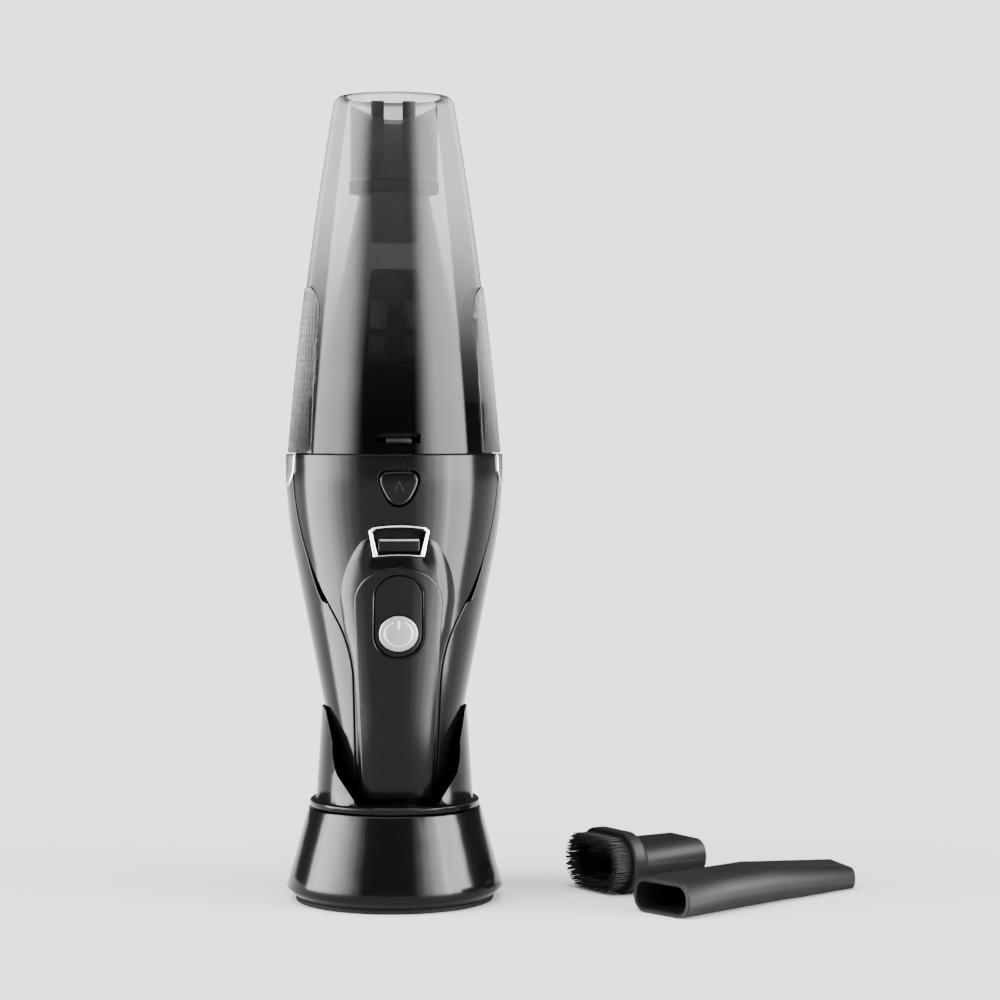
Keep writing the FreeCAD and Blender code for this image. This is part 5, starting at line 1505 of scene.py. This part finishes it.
def studio_world():
    """A plain pale backdrop for the camera, and two soft upright panels for reflections."""
    world = bpy.data.worlds.new("studio")
    world.use_nodes = True
    world.node_tree.nodes.clear()
    graph = Graph(world.node_tree)
    way = graph.add("ShaderNodeTexCoord").outputs["Generated"]
    parts = graph.add("ShaderNodeSeparateXYZ", None, {0: way})
    across, depth, rise = (graph.signal(parts, i) for i in range(3))
    turn = across.sum_node("ARCTAN2", across, -1 * depth)
    turn = turn * (180 / math.pi) - CENTRE

    def panel(side, strength):
        """Rises slowly towards the side and ends a little past it, in degrees."""
        near = soft_step(graph, turn * side, 28.0, 62.0)
        return near * soft_step(graph, turn * side, 90.0, 96.0, 1.0, 0.0) * strength

    lower = soft_step(graph, rise, -0.5, -0.2)
    upper = soft_step(graph, rise, 0.36, 0.5, 1.0, 0.0)
    glow = (panel(1.0, 22.0) + panel(-1.0, 20.0)) * lower * upper + 0.12
    path = graph.add("ShaderNodeLightPath")
    seen = graph.signal(graph.add("ShaderNodeMath", {"operation": "MAXIMUM"}, {
        0: path.outputs["Is Camera Ray"], 1: path.outputs["Is Transmission Ray"],
    }))
    strength = seen * BACKDROP + (1 - seen) * glow
    back = graph.add("ShaderNodeBackground", None, {"Color": (1.0, 1.0, 1.0, 1.0), "Strength": strength})
    graph.add("ShaderNodeOutputWorld", None, {"Surface": back.outputs[0]})
    return world


bpy.context.scene.world = studio_world()
sky = bpy.data.lights.new("soft_top", "SUN")
sky.energy, sky.angle = 5.4, math.radians(70)
sky_holder = bpy.data.objects.new("soft_top", sky)
sky_holder.rotation_euler = (math.radians(18), math.radians(-12), 0.0)
bpy.context.scene.collection.objects.link(sky_holder)
print("world", bpy.context.scene.world.name, "and sun", sky.energy)

# %% [markdown]
# The handle tapers downwards, so it mirrors what stands low beside it. Upright strip lights on
# the floor carry the two bands on down the body. They only show in reflections.

# %% Strip lights
def strip_light(name, first, last, distance, height, radiance):
    """An upright strip from one bearing to another, in degrees from straight ahead."""
    middle, half = math.radians((first + last) / 2), math.radians(abs(last - first) / 2)
    lamp = bpy.data.lights.new(name, "AREA")
    lamp.shape, lamp.size, lamp.size_y = "RECTANGLE", 2 * distance * math.tan(half), height
    lamp.energy = radiance * math.pi * lamp.size * lamp.size_y
    holder = bpy.data.objects.new(name, lamp)
    holder.location = (distance * math.sin(middle), -distance * math.cos(middle), height / 2)
    inwards = Vector((0, 0, height / 2)) - holder.location
    holder.rotation_euler = inwards.to_track_quat("-Z", "Y").to_euler()
    holder.visible_camera = holder.visible_diffuse = holder.visible_transmission = False
    bpy.context.scene.collection.objects.link(holder)
    print(name, "width", round(lamp.size, 3), "power", round(lamp.energy, 2))


STRIPS = (
    ("faint", 28.0, 36.0, 2.5), ("soft", 36.0, 45.0, 8.0), ("middle", 45.0, 53.0, 18.0),
    ("strong", 53.0, 61.0, 30.0), ("bright", 61.0, 91.0, 43.0),
)
STRIP_HEIGHT, STRIP_NEAR, STRIP_FAR = 0.232, 0.2, 0.31
for side, side_name in SIDES:
    for part, first, last, radiance in STRIPS:
        distance = STRIP_FAR if (side_name, part) == ("right", "bright") else STRIP_NEAR
        strip_light(
            f"strip_{side_name}_{part}", CENTRE + side * first, CENTRE + side * last,
            distance, STRIP_HEIGHT, radiance,
        )

# %% [markdown]
# The camera stands a little to the left of the vacuum's front, slightly above the middle of its
# height, with a portrait lens, so that the upright lines stay nearly parallel.

# %% Camera
camera_data = bpy.data.cameras.new("camera")
camera_data.lens = 100.0
camera = bpy.data.objects.new("camera", camera_data)
camera.location = (-0.0606, -1.388, 0.2425)
aim = Vector((0.053, 0.0, 0.1995))
camera.rotation_euler = (aim - camera.location).to_track_quat("-Z", "Y").to_euler()
bpy.context.scene.collection.objects.link(camera)
bpy.context.scene.camera = camera
print("camera at", tuple(camera.location))
